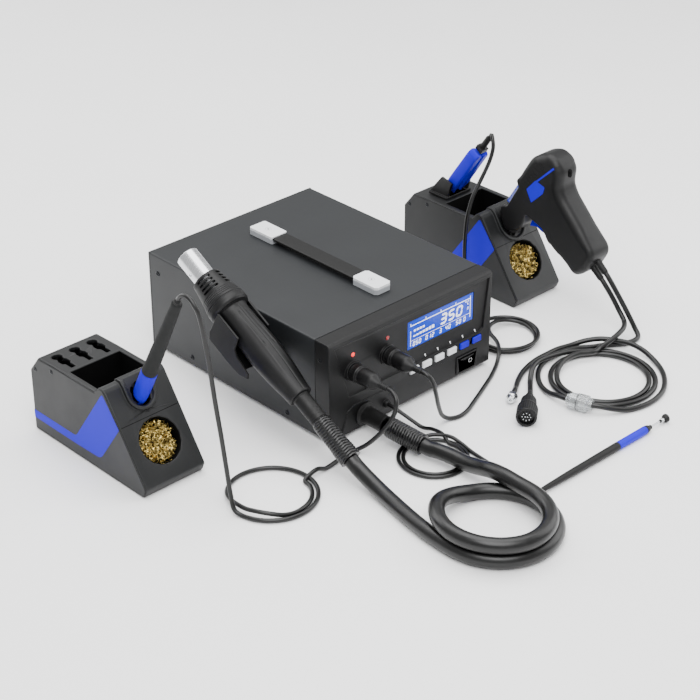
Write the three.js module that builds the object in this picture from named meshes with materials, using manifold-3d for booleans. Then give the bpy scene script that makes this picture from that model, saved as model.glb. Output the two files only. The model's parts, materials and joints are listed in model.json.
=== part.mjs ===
// Hot air rework station with its hand tools: control unit, hot air handpiece in its cradle,
// soldering iron in a holder, vacuum pick-up pen, hot tweezers and desoldering gun on a second holder.
// Millimetres, +Z up. The control unit's front faces -Y and its left side faces -X.

import * as THREE from 'three';
import { mergeVertices } from 'three/addons/utils/BufferGeometryUtils.js';
import Module from 'manifold-3d';

const wasm = await Module();
wasm.setup();

// ---------------------------------------------------------------- driving dimensions
const GAP = 0.3;                 // clearance between touching pieces
const ROUND = 16;                // sides of a round section
const FINE = 24;                 // sides of the large round sections

// control unit
const CASE_W = 228;              // overall width
const CASE_D = 275.2;            // overall depth
const CASE_H = 107.4;            // height above the feet
const FOOT_H = 4;
const FOOT_R = 7;
const SHEET = 1.5;               // folded sheet metal
const BEZEL_D = 20;              // depth of the moulded front
const BEZEL_WALL = 4;
const FACE = 6;                  // thickness of the moulded front wall
const RECESS = 2;                // depth of the display panel below the rim
const REAR_T = 2.5;              // rear panel

// display, keys and switch, by x across and z up the front
const DISPLAY = { x: 42, z: 79, w: 94, h: 31 };
const LENS_T = 2;
const KEY_W = 12.6;
const KEY_H = 7;
const KEY_STEP = 18.2;
const KEY_X = 2.3;
const KEY_Z = 39.5;
const KEY_PROUD = 1.6;
const KEY_LONG = 6.5;
const KEYS = 6;
const KEY_BLUE_FROM = 4;
const SWITCH = { x: 79, z: 18.5, w: 30, h: 19, proud: 1.2 };
const ROCKER_W = 20;
const ROCKER_H = 13;
const ROCKER_TILT = 10;          // degrees from level to either stop

// sockets and ports on the front
const SOCKET_Z = 71.5;
const SOCKET_X = [-81, -34.5];
const SOCKET_R = 10.5;
const PLUG_R = 8.8;
const PLUG_LONG = 46;
const HOSE_PORT = { x: -67.8, z: 18.7 };
const VAC_PORT = { x: -38.4, z: 18.1 };
const PORT_SLEEVE = 32;          // smooth sleeve that stands out of the front
const SLEEVE_R = 9;
const HOSE_R = 7.75;
const SPRING_R = 10.6;

// carrying strap
const STRAP_W = 19.4;
const STRAP_T = 3;
const CAP_W = 22;
const CAP_L = 36;
const CAP_H = 8.4;
const CAP_Y = 78;
const CAP_ROOF = 1;

// hot air handpiece: s runs along its axis from the mouth of the metal tube
const GUN_REACH = 26;            // from the case's side to the handpiece's axis
const GUN_MOUTH = [-CASE_W / 2 - GUN_REACH, 39, 152];
const GUN_PITCH = 28.75;         // degrees that the axis falls towards the front
const TUBE_R = 11.65;
const COLLAR_S = 32;
const HANDLE_S = 74.5;
const TAIL_S = 188;
const GUARD_S = 217.6;
const GUARD_END_S = 267;
const COLLAR_R = 21.5;

// holders
const STAND_W = 72;
const STAND_WALL = 3;
const STAND_1 = { x: -302, y: 0 };
const STAND_2 = { x: 224, y: 11 };
const TOOL_TILT = 27.3;          // lean of the holder's funnel towards the front
const FUNNEL = { wall: 4, throat: 7, deep: 52 };
const LIP = 3.5;                 // height of the lip round a tool hole above the slope
const IRON_HOLE = { y: -42, z: 82.9, bore: 10.2, lip: 16.5, lipUp: 3.2 };
const GUN_HOLE = { y: -43.6, z: 80.5, bore: 13.4, lip: 19, lipUp: 0.5 };
const WOOL_R = 23;
const WOOL_Y = -67.5;

// soldering iron, along its own axis from the funnel's mouth
const GRIP_L = 44;
const GRIP_FROM = -11;
const HANDLE_L = 103;
const IRON_R = 8;
const BARREL_R = 3.2;

// hot tweezers
const TWEEZER_AT = [256, 52, 95];
const TWEEZER_LEAN = 33.7;
const ARM_SPLIT = 0.6;           // half the gap between the arms at the hinge
const ARM_OPEN = 4;              // half the gap at the tips

// vacuum pen, lying on the bench
const PEN_TAIL = [-26, -335.5, 4.7];
const PEN_R = 4.3;
const PEN_LONG = 186;

// cords
const LEAD_R = 2.25;
const VAC_R = 2;
const LINE_R = 2.8;

// ---------------------------------------------------------------- derived places
const FRONT = -CASE_D / 2;
const BACK = CASE_D / 2;
const SIDE = CASE_W / 2;
const BASE = FOOT_H;
const TOP = FOOT_H + CASE_H;
const PANEL = FRONT + RECESS;    // surface of the recessed display panel
const INSIDE = FRONT + FACE;     // back of the front wall
const COVER_Y = [FRONT + BEZEL_D + GAP, BACK - REAR_T - GAP];
const FLOOR_TOP = BASE + SHEET;
const rad = THREE.MathUtils.degToRad;

// ---------------------------------------------------------------- shape helpers
// A geometry with shared vertices, no empty triangles and its faces pointing out.
function tidy(geometry) {
  const bare = new THREE.BufferGeometry();
  bare.setAttribute('position', geometry.getAttribute('position').clone());
  if (geometry.index) bare.setIndex(geometry.index.clone());
  const merged = mergeVertices(bare, 1e-4);
  const p = merged.getAttribute('position');
  const index = merged.index.array;
  const kept = [];
  let volume = 0;
  const [a, b, c] = [new THREE.Vector3(), new THREE.Vector3(), new THREE.Vector3()];
  for (let i = 0; i < index.length; i += 3) {
    const [i0, i1, i2] = [index[i], index[i + 1], index[i + 2]];
    if (i0 === i1 || i1 === i2 || i2 === i0) continue;
    kept.push(i0, i1, i2);
    a.fromBufferAttribute(p, i0);
    b.fromBufferAttribute(p, i1);
    c.fromBufferAttribute(p, i2);
    volume += a.dot(b.cross(c));
  }
  if (volume < 0) {
    for (let i = 0; i < kept.length; i += 3) [kept[i], kept[i + 1]] = [kept[i + 1], kept[i]];
  }
  merged.setIndex(kept);
  return merged;
}

function toSolid(geometry) {
  const g = tidy(geometry);
  return new wasm.Manifold(new wasm.Mesh({
    numProp: 3,
    vertProperties: new Float32Array(g.getAttribute('position').array),
    triVerts: new Uint32Array(g.index.array),
  }));
}

function toGeometry(solid) {
  const mesh = solid.getMesh();
  const g = new THREE.BufferGeometry();
  g.setAttribute('position', new THREE.BufferAttribute(new Float32Array(mesh.vertProperties), 3));
  g.setIndex(new THREE.BufferAttribute(new Uint32Array(mesh.triVerts), 1));
  return g;
}

function join(...geometries) {
  return toGeometry(geometries.map(toSolid).reduce((sum, next) => sum.add(next)));
}

function cut(base, ...tools) {
  return toGeometry(tools.map(toSolid).reduce((rest, tool) => rest.subtract(tool), toSolid(base)));
}

function common(one, other) {
  return toGeometry(toSolid(one).intersect(toSolid(other)));
}

function box([x0, x1], [y0, y1], [z0, z1]) {
  const g = new THREE.BoxGeometry(x1 - x0, y1 - y0, z1 - z0);
  return g.translate((x0 + x1) / 2, (y0 + y1) / 2, (z0 + z1) / 2);
}

// A block centred on (x, z) of the front, w wide, h high, between two depths.
function frontBlock({ x, z, w, h }, y0, y1, grow = 0) {
  return box([x - w / 2 - grow, x + w / 2 + grow], [y0, y1], [z - h / 2 - grow, z + h / 2 + grow]);
}

function outline(points) {
  return new THREE.Shape(points.map(([u, v]) => new THREE.Vector2(u, v)));
}

// An outline of (y, z) points carried along X from x0 to x1, with an optional edge chamfer.
function prismX(points, x0, x1, bevel = 0) {
  const options = { depth: x1 - x0 - 2 * bevel, bevelEnabled: bevel > 0 };
  Object.assign(options, { bevelSize: bevel, bevelThickness: bevel, bevelOffset: -bevel, bevelSegments: 1 });
  const g = new THREE.ExtrudeGeometry(outline(points), options);
  g.applyMatrix4(new THREE.Matrix4().set(0, 0, 1, x0 + bevel, 1, 0, 0, 0, 0, 1, 0, 0, 0, 0, 0, 1));
  return g;
}

// An outline of (x, z) points carried along Y from y0 to y1.
function prismY(points, y0, y1) {
  const g = new THREE.ExtrudeGeometry(outline(points), { depth: y1 - y0, bevelEnabled: false });
  g.applyMatrix4(new THREE.Matrix4().set(1, 0, 0, 0, 0, 0, -1, y1, 0, 1, 0, 0, 0, 0, 0, 1));
  return g;
}

// An outline of (x, y) points carried up from z0 to z1.
function prismZ(points, z0, z1) {
  const g = new THREE.ExtrudeGeometry(outline(points), { depth: z1 - z0, bevelEnabled: false });
  return g.translate(0, 0, z0);
}

// A closed profile of [radius, height] turned about Z.
function turned(profile, sides = ROUND) {
  const points = profile.map(([r, h]) => new THREE.Vector2(r, h));
  return new THREE.LatheGeometry(points, sides).rotateX(Math.PI / 2);
}

// A rod whose [radius, height] points start and end on the axis.
function rod(points, sides = ROUND) {
  return turned([[0, points[0][1]], ...points, [0, points.at(-1)[1]]], sides);
}

// A tube: outer profile upwards, inner profile back down.
function pipe(outer, inner, sides = ROUND) {
  return turned([...outer, ...[...inner].reverse(), outer[0]], sides);
}

// A geometry made along Z, laid along a direction from a point.
function laid(geometry, from, direction) {
  const turn = new THREE.Quaternion();
  turn.setFromUnitVectors(new THREE.Vector3(0, 0, 1), new THREE.Vector3(...direction).normalize());
  return geometry.applyQuaternion(turn).translate(...from);
}

function between(from, to) {
  return new THREE.Vector3(...to).sub(new THREE.Vector3(...from));
}

// A round cord through hand-set points.
function cord(points, radius, steps, sides = 8) {
  const section = Array.from({ length: sides }, (_, i) => {
    const turn = (2 * Math.PI * (i + 0.5)) / sides;
    return [radius * Math.cos(turn), radius * Math.sin(turn)];
  });
  const path = new THREE.CatmullRomCurve3(points.map((p) => new THREE.Vector3(...p)), false, 'centripetal');
  return new THREE.ExtrudeGeometry(outline(section), { steps, extrudePath: path, bevelEnabled: false });
}

// Points on a ring about (x, y): start and end angle in degrees, radius and height as functions of
// the share of the way round.
function ringPoints([x, y], from, to, count, radiusAt, heightAt) {
  return Array.from({ length: count + 1 }, (_, i) => {
    const share = i / count;
    const angle = rad(from + (to - from) * share);
    const r = radiusAt(share);
    return [x + r * Math.cos(angle), y + r * Math.sin(angle), heightAt(share)];
  });
}

// A smooth step from 0 to 1 between two values.
function ease(value, start, end) {
  return THREE.MathUtils.smoothstep(value, start, end);
}

// ---------------------------------------------------------------- finishes
function finish(color, roughness, metalness = 0) {
  return new THREE.MeshStandardMaterial({ color, roughness, metalness });
}
const powderCoat = () => finish(0x4b4f50, 0.55, 0.3);
const blackPlastic = () => finish(0x1d1e1f, 0.5);
const greyPlastic = () => finish(0x3c3e40, 0.55);
const bluePlastic = () => finish(0x2a2ae6, 0.4);
const whitePlastic = () => finish(0xdfe3e6, 0.4);
const rubber = () => finish(0x151516, 0.8);
const steel = () => finish(0xd4d6d8, 0.25, 1);
const brass = () => finish(0xc9a457, 0.35, 1);

// ---------------------------------------------------------------- the assembly
const station = new THREE.Group();

function place(parent, name, geometry, material) {
  const mesh = new THREE.Mesh(tidy(geometry), material);
  mesh.name = name;
  parent.add(mesh);
}

// ---------------------------------------------------------------- control unit
function caseCover() {
  const [x, t] = [SIDE, SHEET];
  const folded = [[-x, BASE], [-x, TOP], [x, TOP], [x, BASE], [x - t, BASE], [x - t, TOP - t],
    [t - x, TOP - t], [t - x, BASE]];
  return prismY(folded, ...COVER_Y);
}

function baseTray() {
  const [x, t, up] = [SIDE - SHEET - GAP, SHEET, 14];
  const folded = [[-x, BASE], [x, BASE], [x, BASE + up], [x - t, BASE + up], [x - t, FLOOR_TOP],
    [t - x, FLOOR_TOP], [t - x, BASE + up], [-x, BASE + up]];
  return prismY(folded, ...COVER_Y);
}

const INLET = { x: -78, z: 42, w: 28, h: 22 };

function rearPanel() {
  const slots = [];
  for (let i = 0; i < 8; i += 1) {
    const slot = { x: 20 + i * 10, z: 62, w: 4, h: 46 };
    slots.push(frontBlock(slot, BACK - REAR_T - 1, BACK + 1));
  }
  const opening = frontBlock(INLET, BACK - REAR_T - 1, BACK + 1, GAP);
  return cut(box([-SIDE, SIDE], [BACK - REAR_T, BACK], [BASE, TOP]), opening, ...slots);
}

function mainsInlet() {
  const flange = 4;
  const body = frontBlock(INLET, BACK - REAR_T - 18, BACK + GAP);
  const rim = frontBlock(INLET, BACK + GAP, BACK + GAP + 2, flange);
  const pocket = frontBlock(INLET, BACK - 14, BACK + 4, -3);
  const pins = [-7, 0, 7].map((dx) => frontBlock({ x: INLET.x + dx, z: INLET.z, w: 2, h: 4 }, BACK - 16, BACK - 4));
  return join(cut(join(body, rim), pocket), ...pins);
}

// Moulded front: a tray open at the back, with the display panel sunk into its face.
function frontBezel() {
  const [c, x, z0, z1] = [2.5, SIDE, BASE, TOP];
  const face = prismX([[FRONT + BEZEL_D, z0], [FRONT + BEZEL_D, z1], [FRONT + c, z1], [FRONT, z1 - c],
    [FRONT, z0 + c], [FRONT + c, z0]], -x, x);
  const hollow = box([BEZEL_WALL - x, x - BEZEL_WALL], [INSIDE, FRONT + BEZEL_D + 1],
    [z0 + BEZEL_WALL, z1 - BEZEL_WALL]);
  const panel = prismY([[-x + 8, z1 - 7], [x - 4, z1 - 7], [x - 11, KEY_Z + 9], [x - 18, KEY_Z + 5.5],
    [-x + 27, KEY_Z + 5.5]], FRONT - 1, PANEL);
  const padTop = HOSE_PORT.z + 15;
  const pad = prismY([[-x + 15, z0 + 1], [VAC_PORT.x + 12, z0 + 1], [VAC_PORT.x + 12, padTop - 4],
    [VAC_PORT.x + 8, padTop], [-x + 32, padTop], [-x + 24, padTop - 4]], FRONT - 1.2, FRONT + 1);
  const holes = [frontBlock(DISPLAY, FRONT - 1, INSIDE + 1, GAP)];
  for (let i = 0; i < KEYS; i += 1) holes.push(keyBlock(i, FRONT - 1, INSIDE + 1, GAP));
  holes.push(frontBlock(SWITCH, FRONT - 1, INSIDE + 1, GAP));
  for (const sx of SOCKET_X) holes.push(frontRod([[SOCKET_R - 3, 5], [SOCKET_R - 3, -30]], sx, SOCKET_Z));
  holes.push(frontRod([[SLEEVE_R + GAP, 3], [SLEEVE_R + GAP, -30]], HOSE_PORT.x, HOSE_PORT.z));
  const nipple = frontRod([[4.6, 4], [4.6, -3]], VAC_PORT.x, VAC_PORT.z);
  const sockets = SOCKET_X.map((sx) => frontRod([[SOCKET_R, 1], [SOCKET_R, -3]], sx, SOCKET_Z));
  const body = cut(join(cut(face, hollow, panel), pad, nipple, ...sockets), ...holes);
  const bore = frontRod([[VAC_R + GAP, 5], [VAC_R + GAP, -30]], VAC_PORT.x, VAC_PORT.z);
  return cut(body, bore);
}

// A turned piece on the front: heights are measured out of the front face, towards the user.
function frontRod(points, x, z, sides = ROUND) {
  return laid(rod(points, sides), [x, FRONT, z], [0, -1, 0]);
}

function keyBlock(i, y0, y1, grow = 0) {
  return frontBlock({ x: KEY_X + i * KEY_STEP, z: KEY_Z, w: KEY_W, h: KEY_H }, y0, y1, grow);
}

function key(i) {
  return keyBlock(i, FRONT - KEY_PROUD, FRONT - KEY_PROUD + KEY_LONG + RECESS);
}

function switchFrame() {
  const outer = frontBlock(SWITCH, FRONT - SWITCH.proud, INSIDE + 12);
  const pocket = { x: SWITCH.x, z: SWITCH.z, w: ROCKER_W, h: ROCKER_H + 2 };
  return cut(outer, frontBlock(pocket, FRONT - SWITCH.proud - 1, INSIDE + 8, GAP));
}

// Rocker with two faces that meet in a shallow V, tilted with its lower half pressed in.
function powerRocker() {
  const [half, lift, deep] = [ROCKER_H / 2, 1.2, 5];
  const side = [[-lift, half], [0.6, 0], [-lift, -half], [deep - 2, -half + 1.5], [deep, 0],
    [deep - 2, half - 1.5]];
  const g = prismX(side, -ROCKER_W / 2, ROCKER_W / 2);
  g.rotateX(rad(ROCKER_TILT));
  return g.translate(SWITCH.x, FRONT - SWITCH.proud + 1.6, SWITCH.z);
}

function hosePort() {
  const sleeve = [[SLEEVE_R, -16], [SLEEVE_R, PORT_SLEEVE - GAP]];
  const bore = [[SLEEVE_R - 2.5, -16], [SLEEVE_R - 2.5, PORT_SLEEVE - GAP]];
  const g = join(pipe(sleeve, bore), pipe([[12.5, 1.6], [12.5, 3.6]], [[SLEEVE_R - 1, 1.6], [SLEEVE_R - 1, 3.6]]));
  return laid(g, [HOSE_PORT.x, FRONT, HOSE_PORT.z], [0, -1, 0]);
}

function foot(sx, sy) {
  const g = rod([[FOOT_R, 0], [FOOT_R, FOOT_H - GAP]], 12);
  return g.translate(sx * (SIDE - 18), sy * (CASE_D / 2 - 24), 0);
}

// Height of the strap's under side: it runs straight from cap to cap, close under their roofs.
const STRAP_LOW = TOP + GAP + CAP_H - CAP_ROOF - GAP - STRAP_T;

// Cap of the strap: a hollow block, open towards the other cap, that the strap's end runs into.
function strapCap(sign) {
  const [y, z] = [sign * CAP_Y, TOP + GAP];
  const shell = box([-CAP_W / 2, CAP_W / 2], [y - CAP_L / 2, y + CAP_L / 2], [z, z + CAP_H]);
  const mouth = box([-STRAP_W / 2 - GAP, STRAP_W / 2 + GAP], [y - CAP_L / 2 + 3, y + CAP_L / 2 - 3],
    [STRAP_LOW - GAP, STRAP_LOW + STRAP_T + GAP]);
  mouth.translate(0, -sign * 4, 0);
  return cut(shell, mouth);
}

// Carrying strap: a flat band.
function carryStrap() {
  const reach = CAP_Y + 7;
  return box([-STRAP_W / 2, STRAP_W / 2], [-reach, reach], [STRAP_LOW, STRAP_LOW + STRAP_T]);
}

function controlBoard() {
  return box([18 - SIDE, SIDE - 18], [INSIDE + 13.5, INSIDE + 15.1], [BASE + 14, TOP - 12]);
}

function transformer() {
  const [x, y, z] = [52, 66, FLOOR_TOP + GAP];
  const core = box([x - 38, x + 38], [y - 18, y + 18], [z, z + 62]);
  const coil = box([x - 22, x + 22], [y - 32, y + 32], [z + 12, z + 50]);
  return join(core, coil);
}

function airPump() {
  const [x, y, r] = [-52, 40, 30];
  const motor = laid(rod([[r, 0], [r, 92]]), [x, y - 40, FLOOR_TOP + GAP + r + 4], [0, 1, 0]);
  const saddle = box([x - 24, x + 24], [y - 30, y + 40], [FLOOR_TOP + GAP, FLOOR_TOP + GAP + 20]);
  const outlet = laid(rod([[6, 0], [6, 20]]), [x, y - 58, FLOOR_TOP + GAP + r + 4], [0, 1, 0]);
  return join(motor, saddle, outlet);
}

// Plastic channel on the left side that the handpiece hangs in by the shoulder of its collar.
function gunCradle() {
  const [outer, inner, wall] = [20.7, 18.3, 2.2];
  const wing = [[7, HANDLE_S + GAP], [7, 108], [-8, 110], [-13, 116], [-17, 136], [-22, 138],
    [-28, 128], [-30, 114], [-30, HANDLE_S + GAP + 3], [-20, HANDLE_S + GAP]];
  const left = prismX(wing, -outer, -inner);
  const right = prismX(wing, inner, outer);
  const web = box([-outer, outer], [-18 - wall - 2.5, -20.5], [HANDLE_S + 4, 128]);
  const bracket = box([outer - 1, SIDE_GAP], [-26, -8], [88, 112]);
  return join(left, right, web, bracket);
}
const SIDE_GAP = -SIDE - GUN_MOUTH[0] - GAP;    // from the handpiece's axis to the case's side

// ---------------------------------------------------------------- hot air handpiece
// Everything here is made in the handpiece's own frame: z along its axis, y up out of the cradle.
function heaterTube() {
  return pipe([[TUBE_R, 0], [TUBE_R, 66]], [[TUBE_R - 0.9, 0], [TUBE_R - 0.9, 66]], FINE);
}

function heaterCore() {
  return rod([[4, 10], [8.4, 12], [8.4, 96], [5, 98]]);
}

function ventCollar() {
  const outer = [[TUBE_R + 3.6, COLLAR_S], [16.6, 42], [18.4, 52], [20.6, 62], [COLLAR_R, 68],
    [COLLAR_R, HANDLE_S - 1.5], [COLLAR_R - 1.5, HANDLE_S - GAP]];
  const inner = [[TUBE_R + GAP, COLLAR_S], [TUBE_R + GAP, HANDLE_S - GAP]];
  const slots = [];
  for (let i = 0; i < 4; i += 1) {
    for (const side of [-1, 1]) {
      const at = COLLAR_S + 3 + i * 4.6;
      slots.push(box([side * 13 - 8, side * 13 + 8], [4, 30], [at, at + 2.2]));
    }
  }
  return cut(pipe(outer, inner, FINE), ...slots);
}

const HANDLE = [[16.2, HANDLE_S], [15.6, 82], [15.8, 94], [17, 115], [17.4, 130], [16.8, 145],
  [15, 165], [12.6, TAIL_S - GAP]];

// One half of the handle: a turned shell of 2 mm wall, split along the upright plane.
function handleHalf(side) {
  const wall = 2.2;
  const inner = HANDLE.map(([r, s]) => [r - wall, s]);
  const half = side < 0 ? [-30, -GAP / 2] : [GAP / 2, 30];
  return common(pipe(HANDLE, inner), box(half, [-30, 30], [HANDLE_S - 5, TAIL_S + 5]));
}

// Rubber tail of the handle, with the wound wire guard that follows it.
function hoseGuard() {
  return rod([[8.2, TAIL_S - 12], [8.2, TAIL_S], [8.8, TAIL_S + GAP], [8.75, GUARD_S], [10, GUARD_S + 6],
    [10, 248], [11, 256], [11, GUARD_END_S]]);
}

// ---------------------------------------------------------------- holders
const STAND_DECK = 87;
const TRAY_Y = [-19, 29];
const FOOTLINE = [[87, 0], [88, 2], [88, 67.6], [73.6, 85.8], [40, STAND_DECK], [-17, STAND_DECK + 0.4],
  [-22, 93.2], [-25, 94.8], [-30, 94.8], [-33.4, 91.6], [-88, 11.5], [-88.2, 9], [-85.4, 2.6], [-83, 0]];
const SLOPE = between([0, -33.4, 91.6], [0, -88, 11.5]).normalize();

// The slope's outward normal, and the point of the slope at a given y.
const slopeNormal = [0, SLOPE.z, -SLOPE.y];
function onSlope(y) {
  return 91.6 + ((y + 33.4) * SLOPE.z) / SLOPE.y;
}

// Slot for a spare tip: a round eye, a waist, a wider shoulder and a narrow tail.
function keyhole(x) {
  const side = [[2.5, 35], [2.5, 44.5], [4.8, 46.5], [4.8, 53], [3.5, 55.5], [3.5, 57.8]];
  const eye = Array.from({ length: 9 }, (_, i) => {
    const turn = rad(-50 + (280 * i) / 8);
    return [x + 5.5 * Math.cos(turn), 62 + 5.5 * Math.sin(turn)];
  });
  const right = side.map(([w, y]) => [x + w, y]);
  const left = side.map(([w, y]) => [x - w, y]).reverse();
  return prismZ([...right, ...eye, ...left], STAND_DECK - 30, STAND_DECK + 5);
}

const TOOL_AXIS = [0, -Math.sin(rad(TOOL_TILT)), Math.cos(rad(TOOL_TILT))];

// A geometry drawn over a tool hole's centre, x across, y up the slope and z out of it.
function overHole(geometry, hole) {
  return laid(geometry, [STAND_W / 2, hole.y, onSlope(hole.y)], slopeNormal);
}

// Raised lip round a tool hole: a U that runs up the slope and over the ridge.
function holeLip({ lip, lipUp, ...hole }) {
  const mid = STAND_W / 2;
  const round = Array.from({ length: 13 }, (_, i) => {
    const turn = rad(180 + 15 * i);
    return [lip * Math.cos(turn), lipUp + lip * Math.sin(turn)];
  });
  const shape = prismZ([...round, [lip, 50], [-lip, 50]], -20, 20);
  const [dy, dz] = [slopeNormal[1] * LIP, slopeNormal[2] * LIP];
  const side = prismX([[-22.6, 86], [-22.6, 95.8], [-25.4, 97.6], [-31.5, 97.6], [-33.4 + dy, 91.6 + dz],
    [-88 + dy, 11.5 + dz], [-84, 11.5], [-36, 86]], mid - lip, mid + lip);
  return common(side, overHole(shape, hole));
}

// The dished floor inside the lip, open towards the ridge.
function lipDish({ bore, lip, lipUp, ...hole }) {
  const [low, high] = [bore + 1.4, lip - 2.6];
  const cone = rod([[low, 0.6], [high, LIP + 0.2], [high, LIP + 6]]).translate(0, lipUp, 0);
  const way = prismY([[-low, 0.6], [low, 0.6], [high, LIP + 0.2], [high, LIP + 6], [-high, LIP + 6],
    [-high, LIP + 0.2]], lipUp, 45);
  return overHole(join(cone, way), hole);
}

// Moulded holder, open below: sloped front with a lipped tool hole and a round window, and a
// sunk tray behind the ridge. The rear deck has keyhole slots for spare tips where asked.
function standShell({ x, y }, toolHole, withTipSlots) {
  const mid = STAND_W / 2;
  const w = STAND_WALL;
  const body = prismX(FOOTLINE, 0, STAND_W, 1.2);
  const cavity = prismX([[85 - w, -1], [88 - w, 64], [73 - w, 85.8 - w - 1], [40, STAND_DECK - w],
    [-17, STAND_DECK - w], [-28, 92 - w], [-34, 88 - w], [-85 + w, 14], [-82 + w, -1]], w, STAND_W - w);
  const [t0, t1] = TRAY_Y;
  const [inset, depth] = [2.6, 40];
  const tray = box([inset + w - 0.5, STAND_W - inset - w + 0.5], [t0 - w, t1 + w], [STAND_DECK - depth - w, STAND_DECK - 1]);
  const well = box([inset + w + 1, STAND_W - inset - w - 1], [t0, t1], [STAND_DECK - depth, STAND_DECK + 9]);
  const mouth = [mid, toolHole.y, toolHole.z];
  const { wall, throat, deep } = FUNNEL;
  const { bore } = toolHole;
  const flare = [[throat + 2, -deep], [throat + 2.5, -24], [bore + wall, -8], [bore + wall, 12]];
  const inside = overHole(box([-mid, mid], [-60, 60], [-90, 0.5]), toolHole);
  const funnel = common(laid(rod(flare), mouth, TOOL_AXIS), inside);
  const hole = laid(rod([[throat, -deep - 9], [throat, -24], [bore, -8], [bore + 0.5, 16]]), mouth, TOOL_AXIS);
  const window = [mid, WOOL_Y, onSlope(WOOL_Y)];
  const port = laid(rod([[WOOL_R, -12], [WOOL_R, 8]]), window, slopeNormal);
  const slots = withTipSlots ? [15, 36, 57].map(keyhole) : [];
  const bare = join(cut(body, cavity), tray, funnel, holeLip(toolHole));
  return cut(bare, well, hole, port, lipDish(toolHole), ...slots).translate(x, y, 0);
}

function woolPad({ x, y }) {
  const from = [STAND_W / 2, WOOL_Y, onSlope(WOOL_Y)];
  const pad = rod([[WOOL_R - 2, -16], [WOOL_R - GAP, -14], [WOOL_R - GAP, -4], [WOOL_R - 6, -1.5]]);
  return laid(pad, from, slopeNormal).translate(x, y, 0);
}

// ---------------------------------------------------------------- soldering iron
// Made in the iron's own frame: z up along its axis from the funnel's mouth.
const IRON_MOUTH = [STAND_1.x + STAND_W / 2, STAND_1.y + IRON_HOLE.y, IRON_HOLE.z];
const HANDLE_Z = GRIP_FROM + GRIP_L;

function ironBarrel() {
  return rod([[0.6, -46], [BARREL_R, -34], [BARREL_R, GRIP_FROM - 9], [6, GRIP_FROM - 8], [6, GRIP_FROM - GAP]]);
}

function ironGrip() {
  return rod([[6.6, GRIP_FROM], [IRON_R - 0.6, GRIP_FROM + 5], [IRON_R, HANDLE_Z - GAP]]);
}

function ironHandle() {
  const top = HANDLE_Z + HANDLE_L;
  return rod([[IRON_R - 0.6, HANDLE_Z], [IRON_R - 1, HANDLE_Z + 30], [5.6, HANDLE_Z + 75],
    [4.6, top - 8], [3.4, top]]);
}

// ---------------------------------------------------------------- plugs, pen, tweezers
function plug(x) {
  const [r, out] = [PLUG_R, PLUG_LONG];
  return frontRod([[SOCKET_R - 3.4, -RECESS - 2], [SOCKET_R - 3.4, 1.3], [r + 0.6, 1.3], [r + 0.6, 9], [r, 10],
    [r, 27], [4.4, 33], [3.6, 35], [3.4, out]], x, SOCKET_Z);
}

const PEN_AIM = [1, -0.003, 0];

function penBody() {
  const g = rod([[2.2, 0], [2.8, 6], [3.6, 40], [PEN_R, 100], [PEN_R, 152], [3.4, 157], [2.2, 160],
    [1.2, 161], [1.2, 175], [2.2, 178], [4.4, 182], [4.4, PEN_LONG]], 16);
  return laid(g, PEN_TAIL, PEN_AIM);
}

// One arm of the tweezers, in the tweezers' frame: z up along them, x across.
function tweezerArm(side) {
  const shape = [[ARM_OPEN, 0], [ARM_SPLIT, 66], [7, 69], [11, 64], [12, 14], [9, 4], [7, 0]];
  return prismY(shape.map(([x, z]) => [side * x, z]), -7, 7);
}

function tweezerCradle() {
  const [x, y] = [TWEEZER_AT[0], TWEEZER_AT[1]];
  const deck = STAND_DECK + GAP;
  const base = box([x - 20, x + 20], [y - 8, y + 20], [deck, deck + 3]);
  const wall = [[y + 18, deck], [y + 20, deck + 4], [y + 4, deck + 24], [y - 12, deck + 20], [y - 6, deck]];
  const left = prismX(wall, x - 17, x - 13.5);
  const right = prismX(wall, x + 13.5, x + 17);
  return join(base, left, right);
}

// Hinge block that joins the two arms at the top and carries the lead's strain relief.
function tweezerHinge() {
  const block = box([-5, 5], [-5, 5], [70, 76]);
  return join(block, rod([[3.6, 75], [3, 92]], 16));
}

// ---------------------------------------------------------------- desoldering gun
const GUN_X = STAND_2.x + STAND_W / 2;
const DESOLDER = [[-38, 76], [-53.8, 81], [-62, 90], [-70, 98.5], [-82, 92.5], [-96, 86], [-107.4, 77],
  [-121, 69.5], [-136.9, 58.2], [-141, 57.8], [-150, 64.5], [-164, 88], [-163, 95], [-134.1, 121.4],
  [-116, 140], [-110.5, 150.4], [-112.3, 168.4], [-106, 178.5], [-95.2, 184.1], [-84, 183], [-68.9, 172.9],
  [-58, 153], [-48.5, 137], [-44, 139.4], [-27.6, 98]];

// The cable and the air line leave the grip one above the other, both along LINE_AIM.
const LINE_EXIT_A = [GUN_X, -152.5, 68];
const LINE_EXIT_B = [GUN_X, -157.5, 77];
const LINE_AIM = [0.04, -0.74, -0.67];

function desolderShell() {
  const body = prismX(DESOLDER, GUN_X - 17, GUN_X + 17, 5);
  const mouth = [GUN_X, STAND_2.y + GUN_HOLE.y, GUN_HOLE.z];
  const overSlope = [GUN_X, mouth[1], onSlope(GUN_HOLE.y)];
  const rimRoom = laid(rod([[GUN_HOLE.lip + 8, -30], [GUN_HOLE.lip + 8, LIP + 2 * GAP]]), overSlope, slopeNormal);
  const nozzle = laid(rod([[3, -40], [4.5, -26], [8, -16], [GUN_HOLE.bore - 1.2, -6], [GUN_HOLE.bore - 1.2, 14]]),
    mouth, TOOL_AXIS);
  const seat = join(cut(body, triggerPocket(), filterTube(0.5), rimRoom), nozzle);
  const exits = [LINE_EXIT_A, LINE_EXIT_B].map((at) => laid(rod([[3.4, -3], [3.4, 6]], 12), at, LINE_AIM));
  return join(seat, ...exits);
}

function triggerPocket() {
  return prismX([[-60, 84], [-66, 106], [-92, 96], [-86, 84]], GUN_X - 6 - GAP, GUN_X + 6 + GAP);
}

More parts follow.
